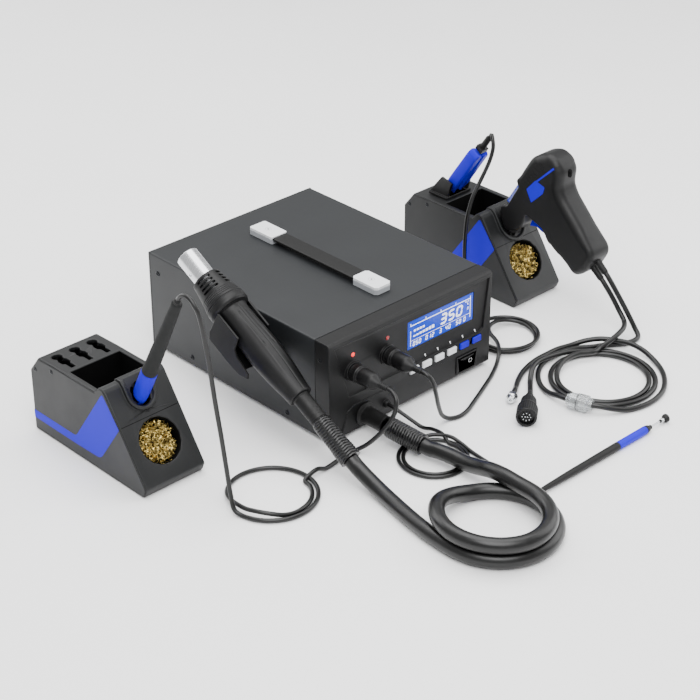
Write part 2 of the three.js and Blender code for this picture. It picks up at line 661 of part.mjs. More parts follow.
function desolderTrigger() {
  return prismX([[-64.6, 88.5], [-68.5, 101], [-85.5, 92.6], [-84, 86.5], [-74, 90.5]], GUN_X - 6, GUN_X + 6);
}

// Solder collecting tube on the upper side of the barrel.
function filterTube(grow = 0) {
  const [from, to] = [[GUN_X, -34.5, 104], [GUN_X, -52.2, 133.5]];
  const span = between(from, to);
  const g = rod([[7.5 + grow, -grow], [7.5 + grow, span.length() + grow]], 16);
  return laid(g, from, span.toArray());
}

// ---------------------------------------------------------------- cords
// Hot air hose: from the handpiece's guard to the bench, round a loop of a little over one and a
// half turns, the second on top of the first, and back to the sleeve on the front.
function gunPoint(s, y = 0) {
  const [x, oy, oz] = GUN_MOUTH;
  const a = rad(GUN_PITCH);
  return [x, oy - s * Math.cos(a) - y * Math.sin(a), oz - s * Math.sin(a) + y * Math.cos(a)];
}
const SPRING_END = [-60.5, -212.5, 12.6];
const SPRING_START = [HOSE_PORT.x, FRONT - PORT_SLEEVE, HOSE_PORT.z];
const HOSE_LOW = HOSE_R + 0.1;

function hoseRoute() {
  const lift = 2 * HOSE_R + 0.3;
  const loop = ringPoints([-102, -347], 186, 712, 26,
    (share) => 55 - 10 * ease(share, 0.78, 1),
    (share) => HOSE_LOW + lift * ease(share, 0.44, 0.6));
  const top = HOSE_LOW + lift;
  return [gunPoint(GUARD_END_S + GAP), gunPoint(GUARD_END_S + 10), [-141.5, -231, 10.6], [-146, -258, 8.2],
    [-151, -283, HOSE_LOW], [-155, -306, HOSE_LOW], [-157, -326, HOSE_LOW], ...loop,
    [-56.5, -331, top], [-56, -314, top], [-55, -297, 21.4], [-54, -280, 16.4], [-54, -263, 13], [-55, -246, 12.5],
    [-57.2, -230, 12.3], towards(SPRING_END, SPRING_START, -8), towards(SPRING_END, SPRING_START, -GAP)];
}

// The point a distance from one point towards another.
function towards(from, to, distance) {
  return between(from, to).normalize().multiplyScalar(distance).add(new THREE.Vector3(...from)).toArray();
}

function springStation() {
  const span = between(SPRING_START, SPRING_END);
  const l = span.length();
  return laid(rod([[8.4, 2.6], [SPRING_R, 7], [SPRING_R, l]]), SPRING_START, span.toArray());
}

const IRON_UPPER = [[-266, -105.3, 206.8], [-265.9, -109.7, 211.7], [-265.6, -115, 214], [-265.2, -120.4, 213.4],
  [-264.9, -124.1, 211.1], [-264.8, -125, 210.1]];
const IRON_LOWER = [[-264.7, -125.5, 209.5], [-264.6, -126.4, 208.4], [-263.8, -129.4, 203.5], [-262.6, -132, 193],
  [-260.8, -135, 171], [-259, -138.4, 141], [-257.8, -142, 110], [-256.8, -147, 78], [-256.2, -152, 45],
  [-256.6, -157, 20], [-257.6, -163, 6]];

function ironLeadRoute() {
  const low = LEAD_R + 0.4;
  const turns = ringPoints([-212, -163], 188, 552, 22,
    (share) => 44 - 5 * ease(share, 0.72, 1),
    (share) => low + 5 * ease(share, 0.78, 0.96));
  const over = ringPoints([-212, -163], 198, 352, 10,
    (share) => 38.5 - 0.6 * share,
    (share) => low + 5 * (1 - ease(share, 0.1, 0.4)));
  return [...IRON_LOWER, ...turns, ...over, [-166, -166.5, low + 2.6], [-157, -167, low + 4.4], [-146, -166.5, low],
    [-128, -164.5, low], [-112, -163, low], [-104, -166, 5], [-99, -174, 12], [-94, -186, 27], [-90, -195, 42],
    [-86.5, -200.5, 58], [-83.4, -197.4, 68], [SOCKET_X[0], FRONT - PLUG_LONG - 5, SOCKET_Z],
    [SOCKET_X[0], FRONT - PLUG_LONG - GAP, SOCKET_Z]];
}

function tweezerLeadRoute() {
  const low = LEAD_R + 0.4;
  const coil = ringPoints([167, -112], 150, -510, 44,
    (share) => 16 + 17 * ease(share, 0, 0.24) + 3.5 * ease(share, 0.5, 1),
    (share) => low + 5.2 * (1 - ease(share, 0.12, 0.3)) + 4.9 * ease(share, 0.5, 0.66));
  const rise = low + 4.9;
  return [[SOCKET_X[1], FRONT - PLUG_LONG - GAP, SOCKET_Z], [SOCKET_X[1], FRONT - PLUG_LONG - 5, SOCKET_Z], [-33, -192.4, 69], [-29.5, -194, 63],
    [-23, -192.5, 46], [-13, -187.5, 24], [-4, -184.5, 9], [4, -186, low + 0.6], [13, -189.5, low], [26, -188.5, low],
    [45, -181, low], [70, -170, low], [97, -157.5, low], [119, -145, low + 1.5], [132, -135.5, low + 5.2],
    [143, -124, low + 5.2], [149, -114, low + 5.2], ...coil, [134, -88, rise], [142, -70, low + 1.5], [156, -50, low],
    [175, -32, low], [195, -19, low], [207, -12, 5], [212.6, -9, 18], [213.5, -7, 42], [214, -6.4, 64],
    [217, -6.2, 92], [225, -6.4, 114], [236, -7.4, 131], [247, -8.8, 150], [252, -8.6, 164], [254.4, -5, 173.4],
    tweezerPoint(92 + GAP + 5), tweezerPoint(92 + GAP)];
}

function tweezerPoint(z) {
  const [x, y, z0] = TWEEZER_AT;
  const a = rad(TWEEZER_LEAN);
  return [x, y - z * Math.sin(a), z0 + z * Math.cos(a)];
}

function penHoseRoute() {
  const low = VAC_R + 0.3;
  const hump = 2 * VAC_R + 0.4;
  const coil = ringPoints([-57, -224], 14, -706, 44,
    (share) => 29.5 + 5 * ease(share, 0.3, 0.7),
    (share) => low + hump * ease(share, 0.9, 0.97));
  return [[VAC_PORT.x, FRONT - 4 - GAP, VAC_PORT.z], [-38, -150, 17.2], [-35.4, -160, 13.5], [-32, -170, 8.6],
    [-28.6, -181, 4.4], [-26.4, -193, low + hump], [-26, -206, low + hump], ...coil, [-21.5, -226, low + 1.6],
    [-23.5, -243, low], [-25.5, -262, low], [-27, -282, low], [-28.6, -300, low], [-30.6, -316, low],
    [-33.6, -326, low + 1], [-33, -332.6, 3.6], [-30, -335.3, 4.6], towards(PEN_TAIL, [0, -335.5, PEN_TAIL[2]], -GAP)];
}

const LINE_RING = [174, -240];

// The cable drops from the grip, winds two turns inside the air line's loop and leaves over it.
function desolderCableRoute() {
  const low = LINE_R + 0.3;
  const layer = 2 * LINE_R + 0.5;
  const turns = ringPoints(LINE_RING, 50, 800, 36,
    (share) => 44 + 14 * share,
    (share) => low + layer * (1 - ease(share, 0.04, 0.14)) + 0.5 * layer * ease(share, 0.97, 1));
  return [lineStart(LINE_EXIT_A), lineStart(LINE_EXIT_A, 12), [262.8, -178, 41], [265, -187, 27], [263, -196, 19],
    [254, -203, low + 2.3 * layer], [241, -206.5, low + 2.1 * layer], [226, -206.5, low + 1.5 * layer],
    [212, -205, low + layer], ...turns, [152, -179, low + layer], [140, -180, low + layer],
    [129, -184.5, low + 0.8 * layer], [117, -193, low + 0.4], [107, -202, low], [97, -211, low + 1],
    towards(DESOLDER_PLUG_FROM, DESOLDER_PLUG_TO, -6), towards(DESOLDER_PLUG_FROM, DESOLDER_PLUG_TO, -GAP)];
}

// The air line goes once round outside the cable, through its filter, and over its own start.
const FILTER_TURN = 200;
const FILTER_R = 9;
const FILTER_L = 27;
const LINE_LOOP_R = 65;

function desolderAirRoute() {
  const low = LINE_R + 0.3;
  const layer = 2 * LINE_R + 0.5;
  const [from, to] = [48, 440];
  const atFilter = (FILTER_TURN - from) / (to - from);
  const loop = ringPoints(LINE_RING, from, to, 30,
    (share) => LINE_LOOP_R + 7 * ease(share, 0.66, 0.84),
    (share) => low + (FILTER_R + 0.2 - low) * (1 - ease(Math.abs(share - atFilter), 0.03, 0.12))
      + layer * ease(share, 0.74, 0.84) * (1 - ease(share, 0.9, 0.98)));
  return [lineStart(LINE_EXIT_B), lineStart(LINE_EXIT_B, 12), [263.5, -185, 46], [268, -195, 28], [271.5, -203.5, 12],
    [270, -211, low + 1], [261, -213.5, low], [250, -211, low], [238, -204, low], [228, -197, low], ...loop,
    [172, -168.5, low], [156, -168.5, low], [140, -171, low], [124, -176, low], [109, -183.5, low], [96, -192, low],
    towards(LUER_FROM, LUER_TO, -6), towards(LUER_FROM, LUER_TO, -GAP)];
}

// Clear filter housing on the air line: two cups screwed together round the line.
function inlineFilter() {
  const angle = rad(FILTER_TURN);
  const [cx, cy] = LINE_RING;
  const at = [cx + (LINE_LOOP_R - 1) * Math.cos(angle), cy + (LINE_LOOP_R - 1) * Math.sin(angle), FILTER_R + 0.2];
  const half = FILTER_L / 2;
  const bore = LINE_R + 1.6;
  const cups = [[5.5, -half], [6, 3 - half], [FILTER_R - 0.6, 5 - half], [FILTER_R - 0.6, -1], [FILTER_R, 0],
    [FILTER_R, half - 5], [6, half - 3], [5.5, half]];
  return laid(pipe(cups, [[bore, -half], [bore, half]]), at, [-Math.sin(angle), Math.cos(angle), 0]);
}

function lineStart(from, further = 0) {
  return new THREE.Vector3(...LINE_AIM).normalize().multiplyScalar(6 + GAP + further)
    .add(new THREE.Vector3(...from)).toArray();
}

const DESOLDER_PLUG_FROM = [86, -219.5, 10.2];
const DESOLDER_PLUG_TO = [50, -247, 11.6];
const LUER_FROM = [83, -200.5, 5.7];
const LUER_TO = [70, -208, 6];

function desolderPlug() {
  const span = between(DESOLDER_PLUG_FROM, DESOLDER_PLUG_TO);
  const l = span.length();
  const g = rod([[3.2, GAP], [4.4, 6], [7.6, 10], [8.6, 26], [10.8, 28], [10.8, l]]);
  return laid(g, DESOLDER_PLUG_FROM, span.toArray());
}

function luerFitting() {
  const span = between(LUER_FROM, LUER_TO);
  return laid(rod([[3, GAP], [3, 4], [5.6, 5], [5.6, 10], [3.4, 11], [3.2, span.length()]], 16),
    LUER_FROM, span.toArray());
}

// ---------------------------------------------------------------- putting it together
function buildControlUnit(group) {
  place(group, 'case_cover', caseCover(), powderCoat());
  place(group, 'base_tray', baseTray(), powderCoat());
  place(group, 'rear_panel', rearPanel(), powderCoat());
  place(group, 'mains_inlet', mainsInlet(), blackPlastic());
  place(group, 'front_bezel', frontBezel(), blackPlastic());
  place(group, 'display_window', frontBlock(DISPLAY, PANEL + 0.6, PANEL + 0.6 + LENS_T), finish(0x2b50c8, 0.1));
  for (let i = 0; i < KEYS; i += 1) {
    place(group, `key_${i + 1}`, key(i), i < KEY_BLUE_FROM ? whitePlastic() : bluePlastic());
  }
  place(group, 'switch_frame', switchFrame(), blackPlastic());
  place(group, 'power_rocker', powerRocker(), blackPlastic());
  place(group, 'hose_port', hosePort(), blackPlastic());
  place(group, 'strap_cap_front', strapCap(-1), whitePlastic());
  place(group, 'strap_cap_rear', strapCap(1), whitePlastic());
  place(group, 'carry_strap', carryStrap(), rubber());
  let count = 0;
  for (const sx of [-1, 1]) {
    for (const sy of [-1, 1]) place(group, `foot_${count += 1}`, foot(sx, sy), rubber());
  }
  place(group, 'control_board', controlBoard(), finish(0x1f6b3a, 0.6));
  place(group, 'transformer', transformer(), finish(0x8a6f4a, 0.6, 0.4));
  place(group, 'air_pump', airPump(), finish(0x9aa0a4, 0.4, 0.7));
}

function buildHandpiece(group) {
  const tool = new THREE.Group();
  tool.position.set(...GUN_MOUTH);
  tool.rotation.x = rad(90 + GUN_PITCH);
  group.add(tool);
  place(tool, 'gun_cradle', gunCradle(), blackPlastic());
  place(tool, 'heater_tube', heaterTube(), steel());
  place(tool, 'heater_core', heaterCore(), finish(0xd9d2c4, 0.8));
  place(tool, 'vent_collar', ventCollar(), blackPlastic());
  place(tool, 'handpiece_shell_left', handleHalf(-1), blackPlastic());
  place(tool, 'handpiece_shell_right', handleHalf(1), blackPlastic());
  place(tool, 'hose_guard', hoseGuard(), rubber());
  place(group, 'air_hose', cord(hoseRoute(), HOSE_R, 52, 10), rubber());
  place(group, 'spring_station', springStation(), blackPlastic());
}

function buildIron(group) {
  const tool = new THREE.Group();
  tool.position.set(...IRON_MOUTH);
  tool.rotation.x = rad(TOOL_TILT);
  group.add(tool);
  place(tool, 'iron_barrel', ironBarrel(), steel());
  place(tool, 'iron_grip', ironGrip(), bluePlastic());
  place(tool, 'iron_handle', ironHandle(), greyPlastic());
  place(group, 'iron_lead_upper', cord(IRON_UPPER, LEAD_R, 4), rubber());
  place(group, 'iron_lead', cord(ironLeadRoute(), LEAD_R, 80), rubber());
  place(group, 'iron_plug', plug(SOCKET_X[0]), blackPlastic());
}

function buildTweezers(group) {
  const tool = new THREE.Group();
  tool.position.set(...TWEEZER_AT);
  tool.rotation.x = rad(TWEEZER_LEAN);
  group.add(tool);
  place(tool, 'tweezer_arm_left', tweezerArm(-1), bluePlastic());
  place(tool, 'tweezer_arm_right', tweezerArm(1), bluePlastic());
  place(tool, 'tweezer_hinge', tweezerHinge(), blackPlastic());
  place(group, 'tweezer_cradle', tweezerCradle(), blackPlastic());
  place(group, 'tweezer_lead', cord(tweezerLeadRoute(), LEAD_R, 80), rubber());
  place(group, 'tweezer_plug', plug(SOCKET_X[1]), blackPlastic());
}

function buildDesolderingGun(group) {
  place(group, 'desolder_shell', desolderShell(), blackPlastic());
  place(group, 'desolder_trigger', desolderTrigger(), bluePlastic());
  place(group, 'desolder_filter_tube', filterTube(), finish(0x3a63d6, 0.15));
  place(group, 'desolder_cable', cord(desolderCableRoute(), LINE_R, 40), rubber());
  place(group, 'desolder_air_line', cord(desolderAirRoute(), LINE_R, 64), rubber());
  place(group, 'desolder_plug', desolderPlug(), blackPlastic());
  place(group, 'inline_filter', inlineFilter(), whitePlastic());
  place(group, 'luer_fitting', luerFitting(), steel());
}

buildControlUnit(station);
buildHandpiece(station);
place(station, 'stand_1_shell', standShell(STAND_1, IRON_HOLE, true), greyPlastic());
place(station, 'stand_1_wool', woolPad(STAND_1), brass());
place(station, 'stand_2_shell', standShell(STAND_2, GUN_HOLE, false), greyPlastic());
place(station, 'stand_2_wool', woolPad(STAND_2), brass());
buildIron(station);
place(station, 'pen_body', penBody(), bluePlastic());
place(station, 'pen_hose', cord(penHoseRoute(), VAC_R, 80), rubber());
buildTweezers(station);
buildDesolderingGun(station);

// The origin is under the middle of the bench space that the rigid pieces take up.
const ORIGIN_SHIFT = [3, 101.3, 0];
station.position.set(...ORIGIN_SHIFT);
const model = new THREE.Group();
model.add(station);

export default model;
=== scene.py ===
"""The looks of a hot air rework station and its hand tools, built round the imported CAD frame.

Sizes are in millimetres in the station's own frame, which has its middle on the bench under the
control unit, its front facing -Y and its left side -X. in_metres() turns them into the row frame.
"""

import json
import math

import bmesh
import bpy
import numpy as np
from bpy.props import FloatProperty, FloatVectorProperty, IntProperty, PointerProperty
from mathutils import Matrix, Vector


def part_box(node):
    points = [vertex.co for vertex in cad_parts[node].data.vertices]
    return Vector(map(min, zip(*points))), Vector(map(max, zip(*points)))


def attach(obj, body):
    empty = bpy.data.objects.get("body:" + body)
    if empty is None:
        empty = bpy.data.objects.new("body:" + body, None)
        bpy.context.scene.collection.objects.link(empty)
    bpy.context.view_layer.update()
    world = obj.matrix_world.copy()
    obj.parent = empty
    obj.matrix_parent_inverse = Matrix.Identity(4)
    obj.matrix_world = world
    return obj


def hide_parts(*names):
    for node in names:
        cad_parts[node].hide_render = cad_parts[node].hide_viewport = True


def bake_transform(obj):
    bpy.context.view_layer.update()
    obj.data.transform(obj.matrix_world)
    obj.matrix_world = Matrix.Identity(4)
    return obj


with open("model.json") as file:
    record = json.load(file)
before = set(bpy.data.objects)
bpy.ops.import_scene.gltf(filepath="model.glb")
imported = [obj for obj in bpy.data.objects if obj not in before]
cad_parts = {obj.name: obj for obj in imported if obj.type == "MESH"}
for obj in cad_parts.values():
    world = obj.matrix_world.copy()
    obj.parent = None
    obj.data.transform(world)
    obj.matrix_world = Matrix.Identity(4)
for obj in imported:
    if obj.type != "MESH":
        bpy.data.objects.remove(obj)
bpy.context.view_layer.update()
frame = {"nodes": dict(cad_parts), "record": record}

bl_info = {
    "name": "Hot Air Rework Station",
    "version": (1, 0, 0),
    "blender": (4, 5, 0),
    "location": "3D View > Sidebar > Rework Station",
    "description": "Builds the visual pieces of a hot air rework station with its tools",
    "category": "Add Mesh",
}

MM = 0.001


def middle(node):
    """Middle of a CAD node's box, in millimetres."""
    low, high = (np.array(corner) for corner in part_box(node))
    return (low + high) / 2 / MM


# The case is 275.2 mm deep from its front face at -137.6 to its rear panel at +137.6.
CASE_W, CASE_D, CASE_H, FOOT_H = 228.0, 275.2, 107.4, 4.0
SIDE, FRONT, BACK = CASE_W / 2, -CASE_D / 2, CASE_D / 2
TOP = FOOT_H + CASE_H
ORIGIN = np.array([middle("rear_panel")[0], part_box("rear_panel")[1][1] / MM - BACK, 0.0])


def in_metres(points):
    """Station millimetres to metres in the row frame."""
    return (np.asarray(points, float) + ORIGIN) * MM


# ---------------------------------------------------------------- shapes worked out with numpy
def unit(v):
    v = np.asarray(v, float)
    return v / np.linalg.norm(v, axis=-1, keepdims=True)


class Place:
    """A local frame: its own z runs along an axis, and its y is as near to up as that allows."""

    def __init__(self, origin=(0, 0, 0), axis=(0, 0, 1), up=(0, 1, 0)):
        z = unit(axis)
        x = unit(np.cross(up, z))
        self.origin, self.turn = np.asarray(origin, float), np.stack([x, np.cross(z, x), z])

    def __call__(self, points):
        return np.asarray(points, float) @ self.turn + self.origin


def on_front(x, z):
    """A frame on the front face: z out towards the user, y up."""
    return Place((x, FRONT, z), (0, -1, 0), (0, 0, 1))


def grid_faces(rows, cols, wrap):
    """Quads between the neighbours of a grid of points, with its columns joined round if wrap."""
    i, j = np.meshgrid(np.arange(rows - 1), np.arange(cols if wrap else cols - 1), indexing="ij")
    k = (j + 1) % cols
    return np.stack([i * cols + j, i * cols + k, (i + 1) * cols + k, (i + 1) * cols + j], -1).reshape(-1, 4)


def ring(count, start=0.0):
    return start + np.arange(count) * 2 * math.pi / count


def soft_corners(points, radius, closed=True, steps=4):
    """The outline with each corner replaced by a parabola from one side to the other, its ends a
    radius away from the corner or half a side away where the side is short."""
    p = np.asarray(points, float)
    before, after = np.roll(p, 1, 0), np.roll(p, -1, 0)
    radius = np.broadcast_to(radius, len(p)).astype(float)
    reach = lambda other: np.minimum(radius, np.linalg.norm(other - p, axis=1) * 0.49)[:, None]
    start = p + unit(before - p + 1e-9) * reach(before)
    end = p + unit(after - p + 1e-9) * reach(after)
    t = np.linspace(0, 1, steps + 1)[None, :, None]
    curve = (1 - t) ** 2 * start[:, None] + 2 * t * (1 - t) * p[:, None] + t ** 2 * end[:, None]
    if not closed:
        curve[0], curve[-1] = p[0], p[-1]
    return curve.reshape(-1, p.shape[1])


def smooth_route(points, per_span=8):
    """Centripetal Catmull-Rom curve through the points: between two of them it is the cubic whose
    end slopes come from the square roots of the three distances about it."""
    p = np.asarray(points, float)
    p = np.vstack([2 * p[0] - p[1], p, 2 * p[-1] - p[-2]])
    a, b, c, d = p[:-3], p[1:-2], p[2:-1], p[3:]
    root = lambda u, v: np.sqrt(np.linalg.norm(v - u, axis=1))[:, None]
    d0, d1, d2 = root(a, b), root(b, c), root(c, d)
    m1 = ((b - a) / d0 - (c - a) / (d0 + d1) + (c - b) / d1) * d1
    m2 = ((c - b) / d1 - (d - b) / (d1 + d2) + (d - c) / d2) * d1
    t = np.linspace(0, 1, per_span, endpoint=False)[None, :, None]
    b, c, m1, m2 = (v[:, None] for v in (b, c, m1, m2))
    curve = b + m1 * t + (3 * (c - b) - 2 * m1 - m2) * t ** 2 + (2 * (b - c) + m1 + m2) * t ** 3
    return np.vstack([curve.reshape(-1, 3), p[-2]])


def even_route(line, step):
    """The line's points again, a step apart along it."""
    along = np.concatenate([[0], np.cumsum(np.linalg.norm(np.diff(line, axis=0), axis=1))])
    at = np.linspace(0, along[-1], max(2, int(round(along[-1] / step)) + 1))
    return np.stack([np.interp(at, along, line[:, k]) for k in range(3)], 1), at


def route_frames(line):
    """Tangents of a line and two normals, from the reference direction that keeps furthest from
    every tangent."""
    t = unit(np.gradient(line, axis=0))
    k = np.arange(200) + 0.5
    polar, turn = np.arccos(1 - 2 * k / 200), math.pi * (1 + 5 ** 0.5) * k
    tries = np.stack([np.cos(turn) * np.sin(polar), np.sin(turn) * np.sin(polar), np.cos(polar)], 1)
    best = tries[np.argmin(np.abs(t @ tries.T).max(0))]
    u = unit(np.cross(t, best))
    return t, u, np.cross(t, u)


def tube(line, radius, sides=20):
    """Circle of the given radius, one number or one for each point and turn, carried along a line
    and closed by a point at each end."""
    _, u, v = route_frames(line)
    turn = ring(sides)[None, :]
    r = np.broadcast_to(np.asarray(radius, float).reshape(-1, 1) if np.ndim(radius) == 1 else radius,
                        (len(line), sides))[..., None]
    points = line[:, None] + r * (np.cos(turn)[..., None] * u[:, None] + np.sin(turn)[..., None] * v[:, None])
    ends = np.stack([np.repeat(line[:1], sides, 0), np.repeat(line[-1:], sides, 0)])
    points = np.concatenate([ends[:1], points, ends[1:]])
    return points.reshape(-1, 3), grid_faces(len(line) + 2, sides, True)


def turned(profile, place, sides=64, relief=None):
    """Surface of revolution about the place's z: (r cos a, r sin a, s) for each (r, s) of the
    profile. relief(a, s) is added to r."""
    r, s = np.asarray(profile, float).T
    a = ring(sides)[None, :]
    r, s = np.broadcast_to(r[:, None], (len(r), sides)), np.broadcast_to(s[:, None], (len(s), sides))
    if relief is not None:
        r = np.where(r > 0, np.maximum(r + relief(np.broadcast_to(a, r.shape), s), 0), 0)
    return place(np.stack([r * np.cos(a), r * np.sin(a), s], -1).reshape(-1, 3)), grid_faces(len(r), sides, True)


def solid_profile(points, radius=0.5, steps=3):
    """A turned rod's profile, closed on its axis at both ends, with its corners softened."""
    p = np.asarray(points, float)
    p = np.vstack([[0, p[0, 1]], p, [0, p[-1, 1]]])
    return soft_corners(p, radius, closed=False, steps=steps)


def slab(outline, low, high, place=Place()):
    """A flat outline (u, v) carried along the place's z from low to high, closed by its two ends."""
    p = np.asarray(outline, float)
    n = len(p)
    area = np.sum(p[:, 0] * np.roll(p[:, 1], -1) - np.roll(p[:, 0], -1) * p[:, 1])
    if area < 0:
        p = p[::-1]
    points = np.vstack([np.column_stack([p, np.full(n, h)]) for h in (low, high)])
    faces = [list(f) for f in grid_faces(2, n, True)] + [list(range(n))[::-1], list(range(n, 2 * n))]
    return place(points), faces


def cushioned(outline, half, edge, place=Place(), steps=6):
    """An outline carried from -half to +half along the place's z. Towards each end it is drawn in
    along its own normals by edge * (1 - cos t) while z gains edge * sin t, a quarter circle.
    The edge is one radius or one for each point. A last ring 0.4 mm further in lies in the end face
    and keeps it level."""
    p = np.asarray(outline, float)
    area = np.sum(p[:, 0] * np.roll(p[:, 1], -1) - np.roll(p[:, 0], -1) * p[:, 1])
    p = p if area > 0 else p[::-1]
    edge = np.broadcast_to(edge, len(p)) if area > 0 else np.broadcast_to(edge, len(p))[::-1]
    along = unit(np.roll(p, -1, 0) - np.roll(p, 1, 0))
    inward = np.stack([-along[:, 1], along[:, 0]], 1)
    t = np.linspace(0, math.pi / 2, steps + 1)[:, None]
    draw = edge * (1 - np.cos(t))
    height = half - edge + edge * np.sin(t)
    draw, height = np.vstack([draw, draw[-1:] + 0.4]), np.vstack([height, height[-1:]])
    draw = np.concatenate([draw[::-1], draw])
    height = np.concatenate([-height[::-1], height])
    points = p[None] + inward[None] * draw[..., None]
    points = np.concatenate([points, height[..., None]], -1)
    n, rows = len(p), len(height)
    faces = [list(f) for f in grid_faces(rows, n, True)] + [list(range(n))[::-1],
                                                            list(range((rows - 1) * n, rows * n))]
    return place(points.reshape(-1, 3)), faces


def together(*shapes):
    """Several (points, faces) as one."""
    points, faces, count = [], [], 0
    for p, f in shapes:
        points.append(p)
        faces += [[int(k) + count for k in face] for face in f]
        count += len(p)
    return np.vstack(points), faces


def piece(name, shape, material, body, nodes=(), sharp=35, bevel=0.0, segments=2):
    """A finished object from (points, faces): welded, smooth but for its sharp edges, riding on a
    body, and standing for the CAD nodes named."""
    points, faces = shape
    mesh = bpy.data.meshes.new(name)
    mesh.from_pydata(in_metres(points).tolist(), [], [list(map(int, f)) for f in faces])
    return dress(name, mesh, material, body, nodes, sharp, bevel, segments)


def dress(name, mesh, material, body, nodes, sharp, bevel, segments):
    bm = bmesh.new()
    bm.from_mesh(mesh)
    bmesh.ops.remove_doubles(bm, verts=bm.verts, dist=1e-6)
    bmesh.ops.dissolve_degenerate(bm, edges=bm.edges, dist=1e-7)
    bm.to_mesh(mesh)
    bm.free()
    mesh.shade_smooth()
    mesh.set_sharp_from_angle(angle=math.radians(sharp))
    mesh.materials.append(material)
    obj = bpy.data.objects.new(name, mesh)
    bpy.context.scene.collection.objects.link(obj)
    if bevel:
        soften(obj, bevel, segments)
    if body:
        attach(obj, body)
    if nodes:
        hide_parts(*nodes)
    return obj


def soften(obj, width, segments=2):
    """Rounds the sharp edges by a width in millimetres."""
    mod = obj.modifiers.new("edges", "BEVEL")
    mod.width, mod.segments = width * MM, segments
    mod.limit_method, mod.angle_limit = "ANGLE", math.radians(30)
    mod.use_clamp_overlap, mod.harden_normals = False, True


def moulding(node, material, bevel=0.5, segments=2, name=None):
    """A copy of a CAD node's solid with its facets merged into faces and its edges rounded."""
    cad = frame["nodes"][node]
    mesh = cad.data.copy()
    mesh.materials.clear()
    bm = bmesh.new()
    bm.from_mesh(mesh)
    bmesh.ops.remove_doubles(bm, verts=bm.verts, dist=2e-6)
    bmesh.ops.dissolve_limit(bm, angle_limit=math.radians(1), verts=bm.verts, edges=bm.edges)
    bm.to_mesh(mesh)
    bm.free()
    return dress(name or node + "_skin", mesh, material, BODY_OF[node], [node], 30, bevel, segments)


BODY_OF = {node: body for body, nodes in frame["record"]["behaviour"]["bodies"].items() for node in nodes}


# ---------------------------------------------------------------- materials
def linear(code):
    """sRGB hex to linear RGBA."""
    c = np.array([int(code[k:k + 2], 16) for k in (1, 3, 5)]) / 255
    return (*np.where(c <= 0.04045, c / 12.92, ((c + 0.055) / 1.055) ** 2.4).tolist(), 1.0)


def add(tree, kind, settings=(), links=()):
    """Adds a node: settings are its properties or unlinked sockets, links are socket: source."""
    node = tree.nodes.new("ShaderNode" + kind)
    for key, value in dict(settings).items():
        if isinstance(key, str) and hasattr(node, key):
            setattr(node, key, value)
        else:
            node.inputs[key].default_value = value
    for key, source in dict(links).items():
        tree.links.new(source, node.inputs[key])
    return node


def new_material(name, settings):
    material = bpy.data.materials.new(name)
    material.use_nodes = True
    tree = material.node_tree
    shader = tree.nodes["Principled BSDF"]
    for key, value in settings.items():
        shader.inputs[key].default_value = value
    place = add(tree, "TexCoord").outputs["Object"]
    return material, tree, shader, place


def per_metre(size_mm):
    """Noise scale whose features are this many millimetres across."""
    return 1 / (size_mm * MM)


def mottled(name, colour, roughness, grain, depth, tone=0.12, patch=14.0, spread=0.06, settings=()):
    """A surface with a fine grain of a given size and depth in millimetres, a slow drift of its
    colour by a share, and a drift of its roughness."""
    material, tree, shader, place = new_material(name, {"Roughness": roughness, **dict(settings)})
    fine = add(tree, "TexNoise", {"Scale": per_metre(grain), "Detail": 3.0, "Roughness": 0.6},
               {"Vector": place})
    slow = add(tree, "TexNoise", {"Scale": per_metre(patch), "Detail": 4.0, "Roughness": 0.55},
               {"Vector": place})
    base = np.array(linear(colour)[:3])
    ramp = add(tree, "ValToRGB", (), {"Fac": slow.outputs["Fac"]})
    ramp.color_ramp.elements[0].position, ramp.color_ramp.elements[1].position = 0.3, 0.7
    ramp.color_ramp.elements[0].color = (*(base * (1 - tone)), 1)
    ramp.color_ramp.elements[1].color = (*np.minimum(base * (1 + tone), 1), 1)
    tree.links.new(ramp.outputs["Color"], shader.inputs["Base Color"])
    rough = add(tree, "MapRange", {"From Min": 0.3, "From Max": 0.7, "To Min": roughness - spread,
                                   "To Max": roughness + spread}, {"Value": slow.outputs["Fac"]})
    tree.links.new(rough.outputs["Result"], shader.inputs["Roughness"])
    bump = add(tree, "Bump", {"Strength": 1.0, "Distance": depth * MM}, {"Height": fine.outputs["Fac"]})
    tree.links.new(bump.outputs["Normal"], shader.inputs["Normal"])
    return material


def powder_coated_steel(colour):
    """Folded sheet steel with a satin charcoal powder coat: orange peel of about 1.2 mm, drawn at
    1.6 mm so that it shows, under a soft sheen."""
    return mottled("powder_coated_steel", colour, 0.46, 1.6, 0.018, 0.05, 40, 0.03,
                   {"Specular IOR Level": 0.4})


def spark_textured_abs(colour):
    """Black ABS from a spark-eroded mould: a fine matt grain of 0.6 mm that greys the highlights."""
    return mottled("spark_textured_abs", colour, 0.46, 0.7, 0.025, 0.1, 20, 0.05,
                   {"Specular IOR Level": 0.32})


def satin_abs(colour):
    """Dark grey ABS from a finely blasted mould, a little smoother than the black."""
    return mottled("satin_grey_abs", colour, 0.48, 0.6, 0.016, 0.06, 30, 0.04, {"Specular IOR Level": 0.38})


def blue_abs(colour):
    """Strongly pigmented blue ABS, satin from the mould."""
    return mottled("pigmented_blue_abs", colour, 0.45, 0.8, 0.008, 0.05, 18, 0.04,
                   {"Specular IOR Level": 0.15})


def white_abs():
    """White ABS caps and keys, close to gloss, with a faint grey drift from handling."""
    return mottled("white_abs", "#e6e8ea", 0.32, 0.8, 0.004, 0.025, 9, 0.04)


def grey_abs():
    return mottled("light_grey_abs", "#9a9da1", 0.4, 0.8, 0.006, 0.03, 9, 0.04)


